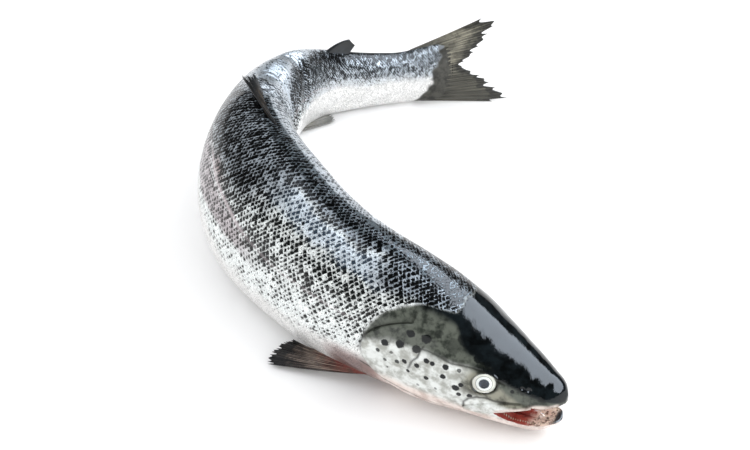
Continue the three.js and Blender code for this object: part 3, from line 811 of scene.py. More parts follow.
def paint_skin(mesh, station, angle, points, colours):
    """Writes the colours, marks and finish of the skin at each point of a mesh. The zones are placed by
    the station, the degrees above the flank, and on the back the degrees counted on to the left flank."""
    degrees = fold(angle)
    around = np.degrees(np.mod(angle + np.pi / 2, 2 * np.pi) - np.pi / 2)
    behind = station * LENGTH
    gill_height = np.sin(angle)
    line_height = degrees - lateral_line(station)
    eye_distance = eye_reach(points)
    wobble = lumpy(points, WOBBLE)
    waved = degrees + wobble
    half_waved = degrees + 0.5 * wobble

    # Zones of the trunk.
    # The sheen band of the upper flank is partly a painted reflection of the right softbox.
    sheen = band(waved, 42, 62, 10) * after(station, 0.18, 0.04) * before(station, 0.33, 0.08)
    high = after(waved, 60, 10)
    nape = after(waved, 40, 12) * before(station, 0.19, 0.04)
    dark_rear = after(station + 0.001 * (degrees - 30) + 0.003 * wobble, 0.325, 0.09) * after(degrees, 8, 24)
    dark_rear *= 1 - 0.5 * after(station, 0.77, 0.06)
    # The back near the tail is dark of its own, and this band deepens it as painted shade.
    darkest = along_line(station, DARKEST_LINE)
    tail_dark_and_shade = band(station, 0.64, 0.89, 0.06) * hill(degrees + 0.6 * wobble, darkest, 20)
    # The loose skin's silver, with a painted reflection of the softboxes laid in, reaching over the ridge to
    # the far flank.
    silver_sheen_start = mix(91, 54, after(station, 0.5, 0.06))
    silver_sheen_soft = mix(6, 26, after(station, 0.56, 0.05))
    silver_sheen = band(around, silver_sheen_start, along_line(station, SILVER_SHEEN_LINE), silver_sheen_soft)
    silver_sheen *= band(station, 0.22, 0.77, 0.04) * after(degrees, 5, 12)
    # Painted shade: the loose skin is darkened where the right softbox's glint falls on it.
    under_glint = band(station, 0.555, 0.69, 0.04) * band(around + 0.5 * wobble, 80, 110, 14)
    ridge = after(half_waved, 72, 5) * before(around, mix(104, 93, after(station, 0.2, 0.1)), 4)
    ridge *= before(station, 0.5, 0.05)
    lower_waved = degrees + 0.3 * wobble
    blush = band(lower_waved, -8, lateral_line(station) - 3, 6) * band(station, 0.36, 0.53, 0.06)
    fading = mix(16, 30, after(station, 0.62, 0.1))
    belly = before(waved, belly_line(station) - fading / 2, fading)
    grey_rear = band(waved, 4, 30, 12) * after(station, 0.55, 0.1)
    fin_root = after(station + 0.0025 * wobble + 0.035 * smooth((5 - degrees) / 85), 0.93, 0.006)

    # Zones of the bare head. On the nape the border of the scales is frayed.
    bare = 0.7 * wobble * after(degrees, 50, 20) - scaliness(station, angle)
    on_head = after(bare, -1.5, 3)
    crown = after(degrees + 0.8 * wobble, crown_line(behind) - 5, 10)
    olive = after(degrees + 0.9 * wobble, olive_line(behind) - 4.5, 9)
    muzzle = before(np.minimum(behind, eye_distance + 34) + 0.5 * wobble, 44, 14)

    layers = [
        ("flank", np.ones(len(points))),
        ("sheen", sheen),
        ("back", np.maximum(np.maximum(high, nape), dark_rear)),
        ("rear", after(station + 0.002 * wobble, 0.64, 0.06)),
        ("back", 0.9 * tail_dark_and_shade),
        ("silver_sheen", silver_sheen * along_line(station, SILVER_SHEEN_STRENGTH)),
        ("ridge", 0.7 * under_glint),
        ("ridge", ridge),
        ("blush", 0.9 * blush),
        ("belly", belly),
        ("rear", 0.45 * grey_rear),
        ("caudal", fin_root),
        ("cheek", on_head),
        ("jaw", on_head * before(half_waved, -34, 12)),
        ("muzzle", on_head * muzzle * after(degrees, -8, 10)),
        ("olive", on_head * olive),
        ("crown", on_head * np.maximum(crown, muzzle * after(degrees, 22, 8))),
        ("lip", on_head * before(lip_reach(points, UPPER_LIP), 1.5, 2.5)),
        ("lip", 0.6 * on_head * before(lip_reach(points, LOWER_LIP), 1, 2)),
    ]
    for shade in ("pale", "dark"):
        colour = np.zeros((len(points), 3))
        for tone, mask in layers:
            colour = mix(colour, np.array(getattr(colours, f"{tone}_{shade}")), mask[:, None])
        write_colour(mesh, shade, colour)

    # Marks: spots and their strength, painted shade in the head's creases, in the gill slit and above the
    # pectoral fin, with a dark ring round the eye, and pink flushes, with pink painted shade under the
    # throat.
    field, strength = spot_field(points)
    # Painted shadow in the slit behind the gill cover's edge.
    gill_slit_shadow = hill((station - gill_edge(gill_height)) * LENGTH, 1.2, 2 ** 0.5) * gill_shown(gill_height)
    creases = np.clip(crease_depths(points) + 0.75 * gill_slit_shadow + hill(eye_distance, 10, 0.9), 0, 1)
    blood = hill(station, 0.456, 0.02) * hill(line_height, 5, 4)
    # Painted shade: the underside of the head is darkened pink where it faces the table.
    throat = 0.15 * on_head * before(degrees, -40, 20)
    # Painted shadow above the pectoral fin's root, over the red of its base.
    axil_shadow_and_red = band(station + 0.001 * wobble, 0.19, 0.24, 0.025) * band(degrees, -72, -22, 16)
    creases = np.clip(creases + 0.65 * axil_shadow_and_red, 0, 1)
    pink = np.clip(0.9 * blood + throat + axil_shadow_and_red, 0, 1)
    write_colour(mesh, "marks", np.stack([field, strength, creases, pink], 1))

    # Finish: where scales are, how large their dark pockets are, the roughness, and pale lines.
    scaly = np.clip(0.5 - bare / 12, 0, 1) * (1 - fin_root)
    pockets = mix(0.3, 0.68, after(degrees + 22 * after(station, 0.52, 0.06), -8, 26))
    brown = band(station, 0.31, 0.43, 0.05) * band(lower_waved, 2, 18, 8)
    darkened = np.maximum(np.maximum(dark_rear * (1 - belly), nape), ridge)
    loose = mix(mix(0.45, 0.2, after(station, 0.55, 0.04)), 0.7, band(station, 0.5, 0.57, 0.03))
    deep = mix(1.1, 1.4, after(station, 0.74, 0.06))
    for size, mask in (
        (0.72, high), (0.85, brown), (0.55, blush), (0.95, darkened), (0.55, sheen), (loose, silver_sheen),
        (0.12, belly * (1 - silver_sheen)), (deep, tail_dark_and_shade * (1 - silver_sheen)),
    ):
        pockets = mix(pockets, size, mask)
    roughness = mix(mix(0.36, 0.24, ridge), 0.08, on_head)
    wide = 0.7 * hill(line_height, 0, 1.5) * band(station, 0.37, 0.49, 0.04)
    thin = 0.25 * hill(line_height, 0, 1) * band(station, 0.22, 0.8, 0.05)
    write_colour(mesh, "finish", np.stack([scaly, pockets, roughness, np.maximum(wide, thin)], 1))
    write_uv(mesh, "scales", np.stack(scale_place(station, angle), 1))


COLUMN_ANGLES = np.linspace(-np.pi / 2, 3 * np.pi / 2, COLUMNS + 1)


def ring_stations(levels):
    """The station at each level and angle: rings lean with the gill cover's edge."""
    front = smooth((levels - GILL["warp_front"]) / (GILL["rear"] - GILL["warp_front"]))
    rear = before(levels, GILL["rear"], GILL["warp_rear"] - GILL["rear"])
    near = np.where(levels < GILL["rear"], front, rear)
    return levels[:, None] + (gill_edge(np.sin(COLUMN_ANGLES)) - GILL["rear"])[None, :] * near[:, None]


def head_levels():
    """The rings of the head: crowded at the snout, with the rows of the gill cover's lip let in."""
    shares = np.arange(HEAD_RINGS + 1) / HEAD_RINGS
    levels = mix(NOSE_END, HEAD_END, mix(shares, shares ** 2, RING_CROWDING))
    start, end = GILL_LIP[0][0] / LENGTH, GILL_LIP[-1][0] / LENGTH
    spare = 0.0007
    ahead = levels[levels < GILL["rear"] + start - spare]
    beyond = levels[levels > GILL["rear"] + end + spare]
    lip = GILL["rear"] + np.linspace(start, end, len(GILL_LIP))
    return np.concatenate([ahead, lip, beyond]), len(ahead)


def head_grid(sizes):
    """The points of the head's skin, ring by ring, before the mouth is cut."""
    levels, first_lip = head_levels()
    station = ring_stations(levels)
    angle = np.broadcast_to(COLUMN_ANGLES, station.shape)
    swell = relief(station, angle)
    shown = gill_shown(np.sin(COLUMN_ANGLES))
    last_lip = first_lip + len(GILL_LIP) - 1
    ahead, beyond = swell[first_lip - 1], swell[last_lip + 1]
    for row, (behind, proud) in enumerate(GILL_LIP, first_lip):
        wanted = gill_edge(np.sin(COLUMN_ANGLES)) + behind / LENGTH
        station[row] = mix(station[row], wanted, shown)
        plain = mix(ahead, beyond, (row - first_lip) / (last_lip - first_lip))
        swell[row] = mix(plain, proud * GILL["step"] / 2, shown)
    rough = skin_point(station, angle, swell=swell)
    fine = head_relief(rough.reshape(-1, 3)).reshape(station.shape)
    fade = before(levels, 0.16, 0.06)[:, None]
    scales = trunk_relief(station, angle, sizes.scale_height / MM)
    blunt = after(levels, NOSE_END, 0.006)[:, None]
    return skin_point(station, angle, (fine * fade + scales) * blunt, swell)


def trunk_grid(first, rings, sizes):
    """The points, stations and angles of a stretch of the trunk, ring by ring."""
    levels = HEAD_END + np.arange(first, first + rings + 1) * RING_SPACING / LENGTH
    station = ring_stations(levels)
    angle = np.broadcast_to(COLUMN_ANGLES, station.shape)
    return skin_point(station, angle, trunk_relief(station, angle, sizes.scale_height / MM)), station, angle


def grid_normals(points):
    """Outward normals of a closed tube's grid of points, with one spare ring at each end."""
    along = points[2:] - points[:-2]
    ring = points[1:-1]
    around = np.empty_like(ring)
    around[:, 1:-1] = ring[:, 2:] - ring[:, :-2]
    around[:, 0] = around[:, -1] = ring[:, 1] - ring[:, -2]
    normals = np.cross(around, along)
    return normals / np.maximum(np.linalg.norm(normals, axis=-1, keepdims=True), 1e-9)


def tree_of(places):
    """A search tree that finds the number of the nearest place."""
    tree = KDTree(len(places))
    for i, place in enumerate(places):
        tree.insert(place, i)
    tree.balance()
    return tree


def set_normals(mesh, places, normals):
    """Gives the points of a mesh the normals that were worked out at the same places."""
    mesh.shade_smooth()
    tree = tree_of(places)
    wanted = np.array([normal.vector[:] for normal in mesh.vertex_normals])
    for i, vertex in enumerate(mesh.vertices):
        _, found, away = tree.find(vertex.co)
        if away < WELD_GAP / 2:
            wanted[i] = normals[found]
    mesh.normals_split_custom_set_from_vertices(wanted)


def trunk_piece(name, first, rings, sizes, colours):
    """A stretch of the trunk's skin. Its end rings shade like the stretch next to it."""
    grid = trunk_grid(first - 1, rings + 2, sizes)
    normals = grid_normals(grid[0])
    points, station, angle = [values[1:-1] for values in grid]
    mesh, row, column = blank_sheet(name, rings, COLUMNS)
    write_points(mesh, metres(points[row, column]))
    paint_skin(mesh, station[row, column], angle[row, column], points[row, column], colours)
    weld(mesh)
    ends = [0, -1]
    set_normals(mesh, metres(points[ends]).reshape(-1, 3), normals[ends].reshape(-1, 3))
    add_piece(mesh, SKIN, "skin", FISH)


def head_frame():
    """The head's own directions: back, right and up, leaning with the head, and its origin."""
    point, back, right = frame_at(np.float64(0))
    roll = np.radians(lean(0.0))
    right = right * np.cos(roll)
    right[2] = np.sin(roll)
    up = np.cross(back, right)
    return point + np.array([0, 0, HEAD_AXIS_HEIGHT]), back, right, up


def head_place(behind, side, height):
    """A point in the head's frame: behind the snout, right of the middle, and its height."""
    origin, back, right, up = head_frame()
    parts = [np.asarray(part, float)[..., None] for part in (behind, side, height)]
    return origin + parts[0] * back + parts[1] * right + (parts[2] - HEAD_AXIS_HEIGHT) * up


def spline(corners, steps):
    """Points of a smooth line through corners, even in length."""
    corners = np.array(corners, float)
    reach = np.concatenate([[0], np.cumsum(np.linalg.norm(np.diff(corners, axis=0), axis=1))])
    at = np.linspace(0, reach[-1], steps + 1)
    rows = [(r, *corner) for r, corner in zip(reach, corners)]
    return np.stack([curve_through(rows, 1)(at), curve_through(rows, 2)(at)], 1)


def mouth_cutter():
    """The gap between the lips, from cheek to cheek, with a knobbly floor."""
    upper, lower = [spline(lip, MOUTH_CUT["steps"]) for lip in (UPPER_LIP, LOWER_LIP)]
    front = mix(lower[-1], upper[0], np.linspace(0, 1, MOUTH_CUT["steps"] // 4)[:, None])
    outline = np.concatenate([upper[:-1], lower[:-1], front])
    mesh, row, column = blank_sheet("mouth_cutter", MOUTH_CUT["slices"], len(outline) - 1)
    side = mix(-MOUTH_CUT["width"] / 2, MOUTH_CUT["width"] / 2, row / MOUTH_CUT["slices"])
    behind, height = outline[column].T
    points = head_place(behind, side, height)
    points[:, 2] += lumpy(points, MOUTH_CUT["lumps"]) * smooth((40 - behind) / 10)
    write_points(mesh, metres(points))
    weld(mesh, close_ends=True)
    return mesh


def head_ball(name, segments, rings, sizes):
    """A lumpy ball in the head's own frame."""
    mesh = ball(name, segments, rings)
    unit = read_points(mesh)
    behind, height = sizes["centre"]
    half_length, half_width, half_depth = sizes["halves"]
    rise = unit[:, 1] * half_depth + unit[:, 2] * sizes["rise"]
    points = head_place(behind + unit[:, 2] * half_length, unit[:, 0] * half_width, height + rise)
    points += lumpy(points, sizes["lumps"])[:, None] * unit[:, sizes["axes"]]
    write_points(mesh, metres(points))
    weld(mesh)
    return mesh


def cut_mouth(mesh):
    """Cuts the mouth out of the closed head, and gives the new faces the second material."""
    head = add_object("head_block", mesh)
    forms = (mouth_cutter(), head_ball("pocket_cutter", 64, 48, POCKET))
    cutters = [add_object(form.name, form) for form in forms]
    for made in (head, *cutters):
        for finish in (SKIN, LINING):
            made.data.materials.append(material(finish))
    for cutter in cutters:
        cutter.data.polygons.foreach_set("material_index", np.ones(len(cutter.data.polygons), np.int32))
        cut = head.modifiers.new("mouth", "BOOLEAN")
        cut.operation = "DIFFERENCE"
        cut.object = cutter
        cut.solver = "EXACT"
    graph = bpy.context.evaluated_depsgraph_get()
    result = bpy.data.meshes.new_from_object(head.evaluated_get(graph), depsgraph=graph)
    for made in (head, *cutters):
        bpy.data.objects.remove(made)
    return result


def soften_lips(shape):
    """Rounds the edge where skin and lining meet."""
    borders = [e for e in shape.edges if len({f.material_index for f in e.link_faces}) > 1]
    near = {v for e in borders for v in e.verts}
    for _ in range(2):
        near |= {e.other_vert(v) for v in near for e in v.link_edges}
    axes = {f"use_axis_{axis}": True for axis in "xyz"}
    for _ in range(5):
        bmesh.ops.smooth_vert(shape, verts=list(near), factor=0.5, **axes)


def paint_lining(mesh):
    """Writes where the mouth's lining is gum, near the front, and where it is the dark tip of the jaw."""
    points = read_points(mesh) / MM - ANCHOR
    nose, back, _, _ = head_frame()
    behind = (points - nose) @ back + 2 * cloud(points, 4, 6)
    gum = before(behind, 13, 9)
    tip = before(behind, 1.5, 3) * before(points[:, 2], 24, 4)
    write_colour(mesh, "flesh", np.stack([gum, tip], 1))


def faces_of(source, name, index):
    """A mesh of only the faces that have the material of this number."""
    shape = bmesh.new()
    shape.from_mesh(source)
    bmesh.ops.delete(shape, geom=[f for f in shape.faces if f.material_index != index], context="FACES")
    for face in shape.faces:
        face.material_index = 0
    return finished(shape, name)


def head_pieces(sizes, colours):
    """The head's skin with its open mouth, and the lining of the mouth."""
    points = head_grid(sizes)
    mesh, row, column = blank_sheet("head_block", len(points) - 1, COLUMNS)
    write_points(mesh, metres(points[row, column]))
    weld(mesh, close_ends=True)
    cut = cut_mouth(mesh)
    shape = bmesh.new()
    shape.from_mesh(cut)
    bmesh.ops.remove_doubles(shape, verts=shape.verts, dist=LIP_WELD_GAP)
    soften_lips(shape)

    # The rear end was closed for the cut only, and is opened again.
    rear_ring = metres(points[-1])
    tree = tree_of(rear_ring)
    at_rear = {v for v in shape.verts if tree.find(v.co)[2] < 5 * WELD_GAP}
    caps = [f for f in shape.faces if all(v in at_rear for v in f.verts)]
    bmesh.ops.delete(shape, geom=caps, context="FACES")
    shape.to_mesh(cut)
    shape.free()

    skin = faces_of(cut, "head_skin", 0)
    where = read_points(skin) / MM - ANCHOR
    paint_skin(skin, *locate(where), where, colours)
    set_normals(skin, rear_ring, grid_normals(trunk_grid(-1, 2, sizes)[0])[0])
    add_piece(skin, SKIN, "skin", FISH)
    lining = faces_of(cut, "mouth_lining", 1)
    paint_lining(lining)
    add_piece(lining, LINING, "mouth", FISH)


def plate_points(sheet, thickness):
    """Both faces of a plate over a grid of points, out to a closed edge, as one sheet folded round."""
    normal = np.cross(np.gradient(sheet, axis=1), np.gradient(sheet, axis=0))
    normal /= np.maximum(np.linalg.norm(normal, axis=-1, keepdims=True), 1e-9)
    half = normal * thickness[..., None] / 2
    return np.concatenate([sheet + half, (sheet - half)[:, -2::-1]], 1)


def plate_mesh(name, sheet, thickness):
    """A closed plate. The thickness is 0 along the border, so both faces meet there."""
    points = plate_points(sheet, thickness)
    mesh, row, column = blank_sheet(name, points.shape[0] - 1, points.shape[1] - 1)
    write_points(mesh, metres(points[row, column]))
    last = sheet.shape[1] - 1
    return mesh, row, np.where(column > last, 2 * last - column, column), points[row, column]


def edge_profile(share, sharpness):
    """0 at both ends and 1 between."""
    return (1 - np.abs(2 * share - 1) ** sharpness) ** 0.5


def fin_mesh(name, fin, ray):
    """A fin: a thin membrane over bony rays that branch towards the edge, split between the rays."""
    rays = fin["rays"]
    columns = rays * fin["points_per_ray"]
    u, v = np.meshgrid(np.linspace(0, 1, columns + 1), np.linspace(0, 1, fin["rows"] + 1))
    root, tip, droop = ray(u)
    unevenness = 1 - SPLIT_VARIATION * (1 - np.sin(u * rays * SPLIT_RHYTHM))
    notch = fin["splits"] * np.abs(np.sin(u * rays * np.pi)) * unevenness
    sheet = root + (tip - root) * (v * (1 - notch))[..., None]
    sheet[..., 2] += droop * v * (1 - v) * 4
    stem = np.abs(np.cos(u * rays * np.pi))
    branch = np.abs(np.cos(u * rays * 2 * np.pi))
    ribs = mix(stem, branch, smooth(2 * v - 0.6)) ** 1.5
    thickness = mix(fin["thickness"], fin["thin"], v ** 0.7) * mix(1 - fin["ridge"] * smooth(3 * v), 1, ribs)
    thickness = thickness * edge_profile(u, 30) * edge_profile(v, 40)
    sway = fin["wave"] * np.sin(u * rays * 1.3 + 3 * v) * v
    # What lies within 3 mm of the table doesn't sway.
    sheet[..., 2] += sway * (sheet[..., 2] > 3)
    mesh, row, column, _ = plate_mesh(name, sheet, thickness)
    write_uv(mesh, "rays", np.stack([u[row, column] * rays, v[row, column]], 1))
    weld(mesh)
    return mesh


def fin_ray(fin, side):
    """A function for the root, tip and droop of a fin's rays, from its front ray at 0 to its rear at 1."""

    def ray(u):
        def along(name, share=u):
            return mix(*fin[name], share)

        angle = np.radians(-90 + side * (90 - along("angles")))
        root = skin_point(along("stations"), angle, -fin["sunk"])
        if "root_heights" in fin:
            root[..., 2] = along("root_heights")
        _, back, right = frame_at(np.float64(fin["at"]))
        spread = back * fin["back"] + right * (side * along("slants"))[..., None]
        if fin["even"]:
            spread /= np.linalg.norm(spread, axis=-1, keepdims=True)
        tip = root + spread * along("reaches", u ** fin["narrowing"])[..., None]
        tip[..., 2] = along("tip_heights") if "tip_heights" in fin else root[..., 2] + along("rises")
        return root, tip, along("droops")

    return ray


def tail_ray(u):
    """The tail fin's rays in its own upright plane."""
    foot = skin_point(np.float64(TAIL["station"]), np.radians(-90))
    foot[2] = 0
    tilt = np.radians(TAIL["tilt"])
    upward = np.array([0, np.sin(tilt), np.cos(tilt)])

    def in_plane(along, height):
        point = foot + upward * height[..., None]
        point[..., 0] = foot[0] + along
        return point

    root = in_plane(curve_through(TAIL_ROOT, 1)(u) - TAIL["sunk"], curve_through(TAIL_ROOT, 2)(u))
    return root, in_plane(curve_through(TAIL_TIP, 1)(u), curve_through(TAIL_TIP, 2)(u)), 0


def maxilla_piece(side, colours):
    """The upper jaw's side plate, a leaf that ends behind the corner of the mouth."""
    u, v = np.meshgrid(*[np.linspace(0, 1, count) for count in MAXILLA["points"]])
    station = mix(MAXILLA["front"], MAXILLA["rear"], u) / LENGTH
    leaf = np.sin(np.pi * mix(*MAXILLA["outline"], u ** MAXILLA["rearward"])) ** MAXILLA["bluntness"]
    middle = mix(MAXILLA["front_height"], MAXILLA["rear_height"], u ** MAXILLA["droop"])
    angle = angle_at_height(station, middle + MAXILLA["half_width"] * leaf * (2 * v - 1), side)
    sheet = skin_point(station, angle, MAXILLA["proud"])
    thickness = MAXILLA["thickness"]
    for share, sharpness in zip((u, v), MAXILLA["sharpness"]):
        thickness = thickness * edge_profile(share, sharpness)
    mesh, row, column, points = plate_mesh("maxilla_" + SIDES[side], sheet, thickness)
    paint_skin(mesh, station[row, column], angle[row, column], points, colours)
    weld(mesh)
    add_piece(mesh, SKIN, "skin", FISH)


def placed(centre, direction):
    """Moves a shape to a centre and turns its own up to a direction."""
    turn = Vector((0, 0, 1)).rotation_difference(Vector(direction)).to_matrix().to_4x4()
    return Matrix.Translation(Vector(metres(centre))) @ turn


def dome(name, side, radii, offset, cut=None):
    """An ellipsoid at an eye, with its own flat place kept as a UV map in millimetres."""
    mesh = ball(name, 64, 40, cut)
    points = read_points(mesh) * radii
    write_uv(mesh, "disc", points[:, :2])
    write_points(mesh, points * MM)
    centre, normal = eye_place(side)
    mesh.transform(placed(centre + normal * offset, normal))
    return mesh


def eye_pieces(side):
    """An eyeball with a flat iris, and the clear cornea over it."""
    word = SIDES[side]
    add_piece(dome("eyeball_" + word, side, **EYEBALL), "cream_fish_iris", "eye", "eye_" + word)
    add_piece(dome("cornea_" + word, side, **CORNEA), "clear_wet_cornea", "cornea")


def teeth_piece(name, height, lip, inward, up, spread):
    """Small leaning cones along a jaw, from the tip back, on both sides."""
    draw = np.random.default_rng(TOOTH_SEED)
    _, back, right, upward = head_frame()
    shape = bmesh.new()
    for (behind, level), side in itertools.product(spline(lip, TEETH_PER_SIDE)[1:], SIDES):
        half = width(behind / LENGTH) / 2 * spread - inward
        if half < 1:
            continue
        axis = upward * up + back * draw.uniform(*TOOTH["lean"]) - right * side * TOOTH["lean_in"]
        tall = height * draw.uniform(*TOOTH["shares"])
        base = head_place(behind, side * half, level - up * TOOTH["sunk"])
        bmesh.ops.create_cone(
            shape, cap_ends=True, segments=8, radius1=TOOTH["root"] * MM, radius2=TOOTH["tip"] * MM,
            depth=tall * MM, matrix=placed(base + axis * tall / 2, axis),
        )
    add_piece(finished(shape, name), "ivory_tooth_enamel", "tooth")


def tongue_piece():
    """A low pink tongue on the floor of the mouth."""
    mesh = head_ball("tongue", 48, 32, TONGUE)
    paint_lining(mesh)
    add_piece(mesh, LINING, "mouth")


def opaque(hex_colour):
    return (*linear(hex_colour), 1)


def add_node(tree, kind, *inputs, **settings):
    """Adds a shader node with its settings. The inputs follow the order of its sockets, or a dictionary
    gives them by socket. Each is a value, a hex colour, an output, or a node for its first output in use."""
    made = tree.nodes.new("ShaderNode" + kind)
    for name, value in settings.items():
        setattr(made, name, value)
    by_socket = inputs[0] if inputs and isinstance(inputs[0], dict) else dict(enumerate(inputs))
    for socket, value in by_socket.items():
        if isinstance(value, bpy.types.Node):
            value = next(output for output in value.outputs if output.enabled)
        if isinstance(value, bpy.types.NodeSocket):
            tree.links.new(value, made.inputs[socket])
        else:
            made.inputs[socket].default_value = opaque(value) if isinstance(value, str) else value
    return made


def material(name):
    """The finish of this name. Its nodes are laid out on first use."""
    if name in bpy.data.materials:
        return bpy.data.materials[name]
    build, *settings = FINISHES[name]
    made = bpy.data.materials.new(name)
    made.use_nodes = True
    made.node_tree.nodes.clear()
    add = partial(add_node, made.node_tree)
    add("OutputMaterial", build(add, *settings))
    return made


def scale_nodes(add):
    """Where a point lies on its scale: its share towards the rim, how far it is behind the scale's middle
    and above it, and a random number for the scale."""
    along, across, _ = add("SeparateXYZ", add("UVMap", uv_map="scales")).outputs
    row = add("Math", along, operation="FLOOR")
    share = add("Math", along, row, operation="SUBTRACT")
    odd = add("Math", row, 2.0, operation="FLOORED_MODULO")
    half_odd = add("Math", odd, 0.5, operation="MULTIPLY")
    half_even = add("Math", 0.5, half_odd, operation="SUBTRACT")
    rims, numbers, offsets = [], [], []
    for shift in (half_odd, half_even):
        moved = add("Math", across, shift, operation="ADD")
        numbers.append(add("Math", moved, operation="FLOOR"))
        part = add("Math", moved, numbers[-1], operation="SUBTRACT")
        offsets.append(add("Math", part, 0.5, operation="SUBTRACT"))
        square = add("Math", offsets[-1], offsets[-1], operation="MULTIPLY")
        rims.append(add("Math", square, -4.0, 1.0, operation="MULTIPLY_ADD"))
    own_rim, other_rim = rims
    on_own = add("Math", share, other_rim, operation="GREATER_THAN")
    gap = add("Math", own_rim, other_rim, operation="SUBTRACT")
    own_top = add("Math", share, other_rim, operation="SUBTRACT")
    own_length = add("Math", gap, FULL_SCALE, operation="ADD")
    own_share = add("Math", own_top, own_length, operation="DIVIDE")
    other_top = add("Math", share, own_rim, operation="SUBTRACT")
    other_top = add("Math", other_top, 1.0, operation="ADD")
    other_length = add("Math", FULL_SCALE, gap, operation="SUBTRACT")
    other_share = add("Math", other_top, other_length, operation="DIVIDE")
    towards_rim, above, number = [
        add("Mix", {0: on_own, 2: other, 3: own}, data_type="FLOAT")
        for own, other in ((own_share, other_share), offsets, numbers)
    ]
    line = add("Math", row, on_own, operation="ADD")
    chance = add("TexWhiteNoise", {"Vector": add("CombineXYZ", line, number)}, noise_dimensions="2D")
    behind = add("Math", share, on_own, operation="SUBTRACT")
    return towards_rim, behind, above, chance


def skin_nodes(add):
    """Wet fish skin: thin slime over silvery scales with dark pockets, and bare mottled skin on the head.
    The slime gives sharp highlights, and the scales break them up."""
    pale, dark, marks, finish = [
        add("Attribute", attribute_name=layer) for layer in ("pale", "dark", "marks", "finish")
    ]
    spot_place, spot_strength, groove_shade = add("SeparateColor", marks).outputs
    scaled, pockets, dullness = add("SeparateColor", finish).outputs
    towards_rim, behind, above, chance = scale_nodes(add)
    place = add("TexCoord").outputs["Object"]
    # Blotches about 3 mm across on the bare head, grain under 1 mm, and patches about 9 mm across.
    blotch, grain, broad = [
        add("TexNoise", {"Vector": place, "Scale": scale, "Detail": detail, "Roughness": 0.6})
        for scale, detail in ((300.0, 3.0), (1100.0, 2.0), (110.0, 4.0))
    ]

    # A scale has a dark pocket, a blob that is longest on the slant, and the rest of it is pale.
    slanted = add("Math", above, 0.55, behind, operation="MULTIPLY_ADD")
    length = add("Math", slanted, 0.1, operation="ADD")
    breadth = add("Math", above, 2.6, operation="MULTIPLY")
    reach = add("VectorMath", add("CombineXYZ", length, breadth), operation="LENGTH")
    past = add("Math", chance, 0.7, reach, operation="MULTIPLY_ADD")
    for noise, share in ((blotch, 1.6), (grain, 1.6), (pockets, -0.95)):
        past = add("Math", noise, share, past, operation="MULTIPLY_ADD")
    rim = add("MapRange", past, 1.82, 2.14, 0.0, 1.0, interpolation_type="SMOOTHSTEP")
    mottle = add("MapRange", broad, 0.35, 0.6, 0.0, 1.0, interpolation_type="SMOOTHSTEP")
    jag = add("Math", chance, 0.5, -0.25, operation="MULTIPLY_ADD")
    scaly = add("MapRange", add("Math", scaled, jag, operation="ADD"), 0.47, 0.53, 0.0, 1.0)
    shade = add("Mix", {0: scaly, 2: mottle, 3: rim}, data_type="FLOAT")
    skin = add("Mix", {0: shade, 6: dark, 7: pale}, data_type="RGBA")

    # No two scales are equally bright, and broad patches differ a little.
    dimmed = add("Math", 1.0, chance, operation="SUBTRACT")
    uneven = add("Math", dimmed, pockets, operation="MULTIPLY")
    per_scale = add("MapRange", {0: uneven, 3: 1.12, 4: 0.3})
    per_patch = add("MapRange", broad, 0.3, 0.7, 0.88, 1.06)
    per_grain = add("MapRange", grain, 0.35, 0.65, 0.62, 1.25)
    on_scale = add("Math", per_scale, per_grain, operation="MULTIPLY")
    on_scale = add("Mix", {0: scaly, 2: 1.0, 3: on_scale}, data_type="FLOAT")
    light = add("Math", on_scale, per_patch, operation="MULTIPLY")
    skin = add("VectorMath", {0: skin, "Scale": light}, operation="SCALE")

    # Over it lie pink flushes, pale lines, spots with ragged edges, and painted shade in the creases, the
    # gill slit and above the pectoral fin.
    flush = add("Math", marks.outputs["Alpha"], 0.8, operation="MULTIPLY")
    skin = add("Mix", {0: flush, 6: skin, 7: "#b4807a"}, data_type="RGBA", blend_type="MULTIPLY")
    ragged = add("Math", blotch, 0.5, -0.25, operation="MULTIPLY_ADD")
    ragged = add("Math", spot_place, ragged, operation="ADD")
    spot = add("MapRange", ragged, 0.42, 0.58, 0.0, 1.0, interpolation_type="SMOOTHSTEP")
    spot = add("Math", spot, spot_strength, operation="MULTIPLY")
    # Painted shade: the creases, the gill slit and the axil are darkened.
    crease_shade = add("Math", groove_shade, 0.9, operation="MULTIPLY")
    for mask, colour in ((finish.outputs["Alpha"], "#d3c6c9"), (spot, "#0a0e10"), (crease_shade, "#1d1e19")):
        skin = add("Mix", {0: mask, 6: skin, 7: colour}, data_type="RGBA")

    # The pale rims are silvery and stand up, and each scale is tipped its own way. Bare skin has soft
    # dents that fray the highlights.
    lifted = add("Math", rim, scaly, operation="MULTIPLY")
    silver = add("Math", lifted, 0.3, operation="MULTIPLY")
    turned = add("Math", uneven, 2.6, -0.3, operation="MULTIPLY_ADD")
    turned = add("Math", turned, scaly, operation="MULTIPLY")
    height = add("Math", towards_rim, turned, lifted, operation="MULTIPLY_ADD")
    for noise, deepest in ((broad, 1.5), (blotch, 0.3)):
        dents = add("Mix", {0: scaly, 2: deepest, 3: 0.0}, data_type="FLOAT")
        height = add("Math", noise, dents, height, operation="MULTIPLY_ADD")
    height = add("Math", grain, 0.16, height, operation="MULTIPLY_ADD")
    bump = add("Bump", {"Strength": 0.7, "Distance": 0.0002, "Height": height})
    return add("BsdfPrincipled", {
        "Base Color": skin, "Roughness": dullness, "Normal": bump, "Metallic": silver, "IOR": 1.12,
        "Coat Weight": 0.6, "Coat Roughness": 0.07, "Coat IOR": 1.5, "Coat Normal": bump,
    })


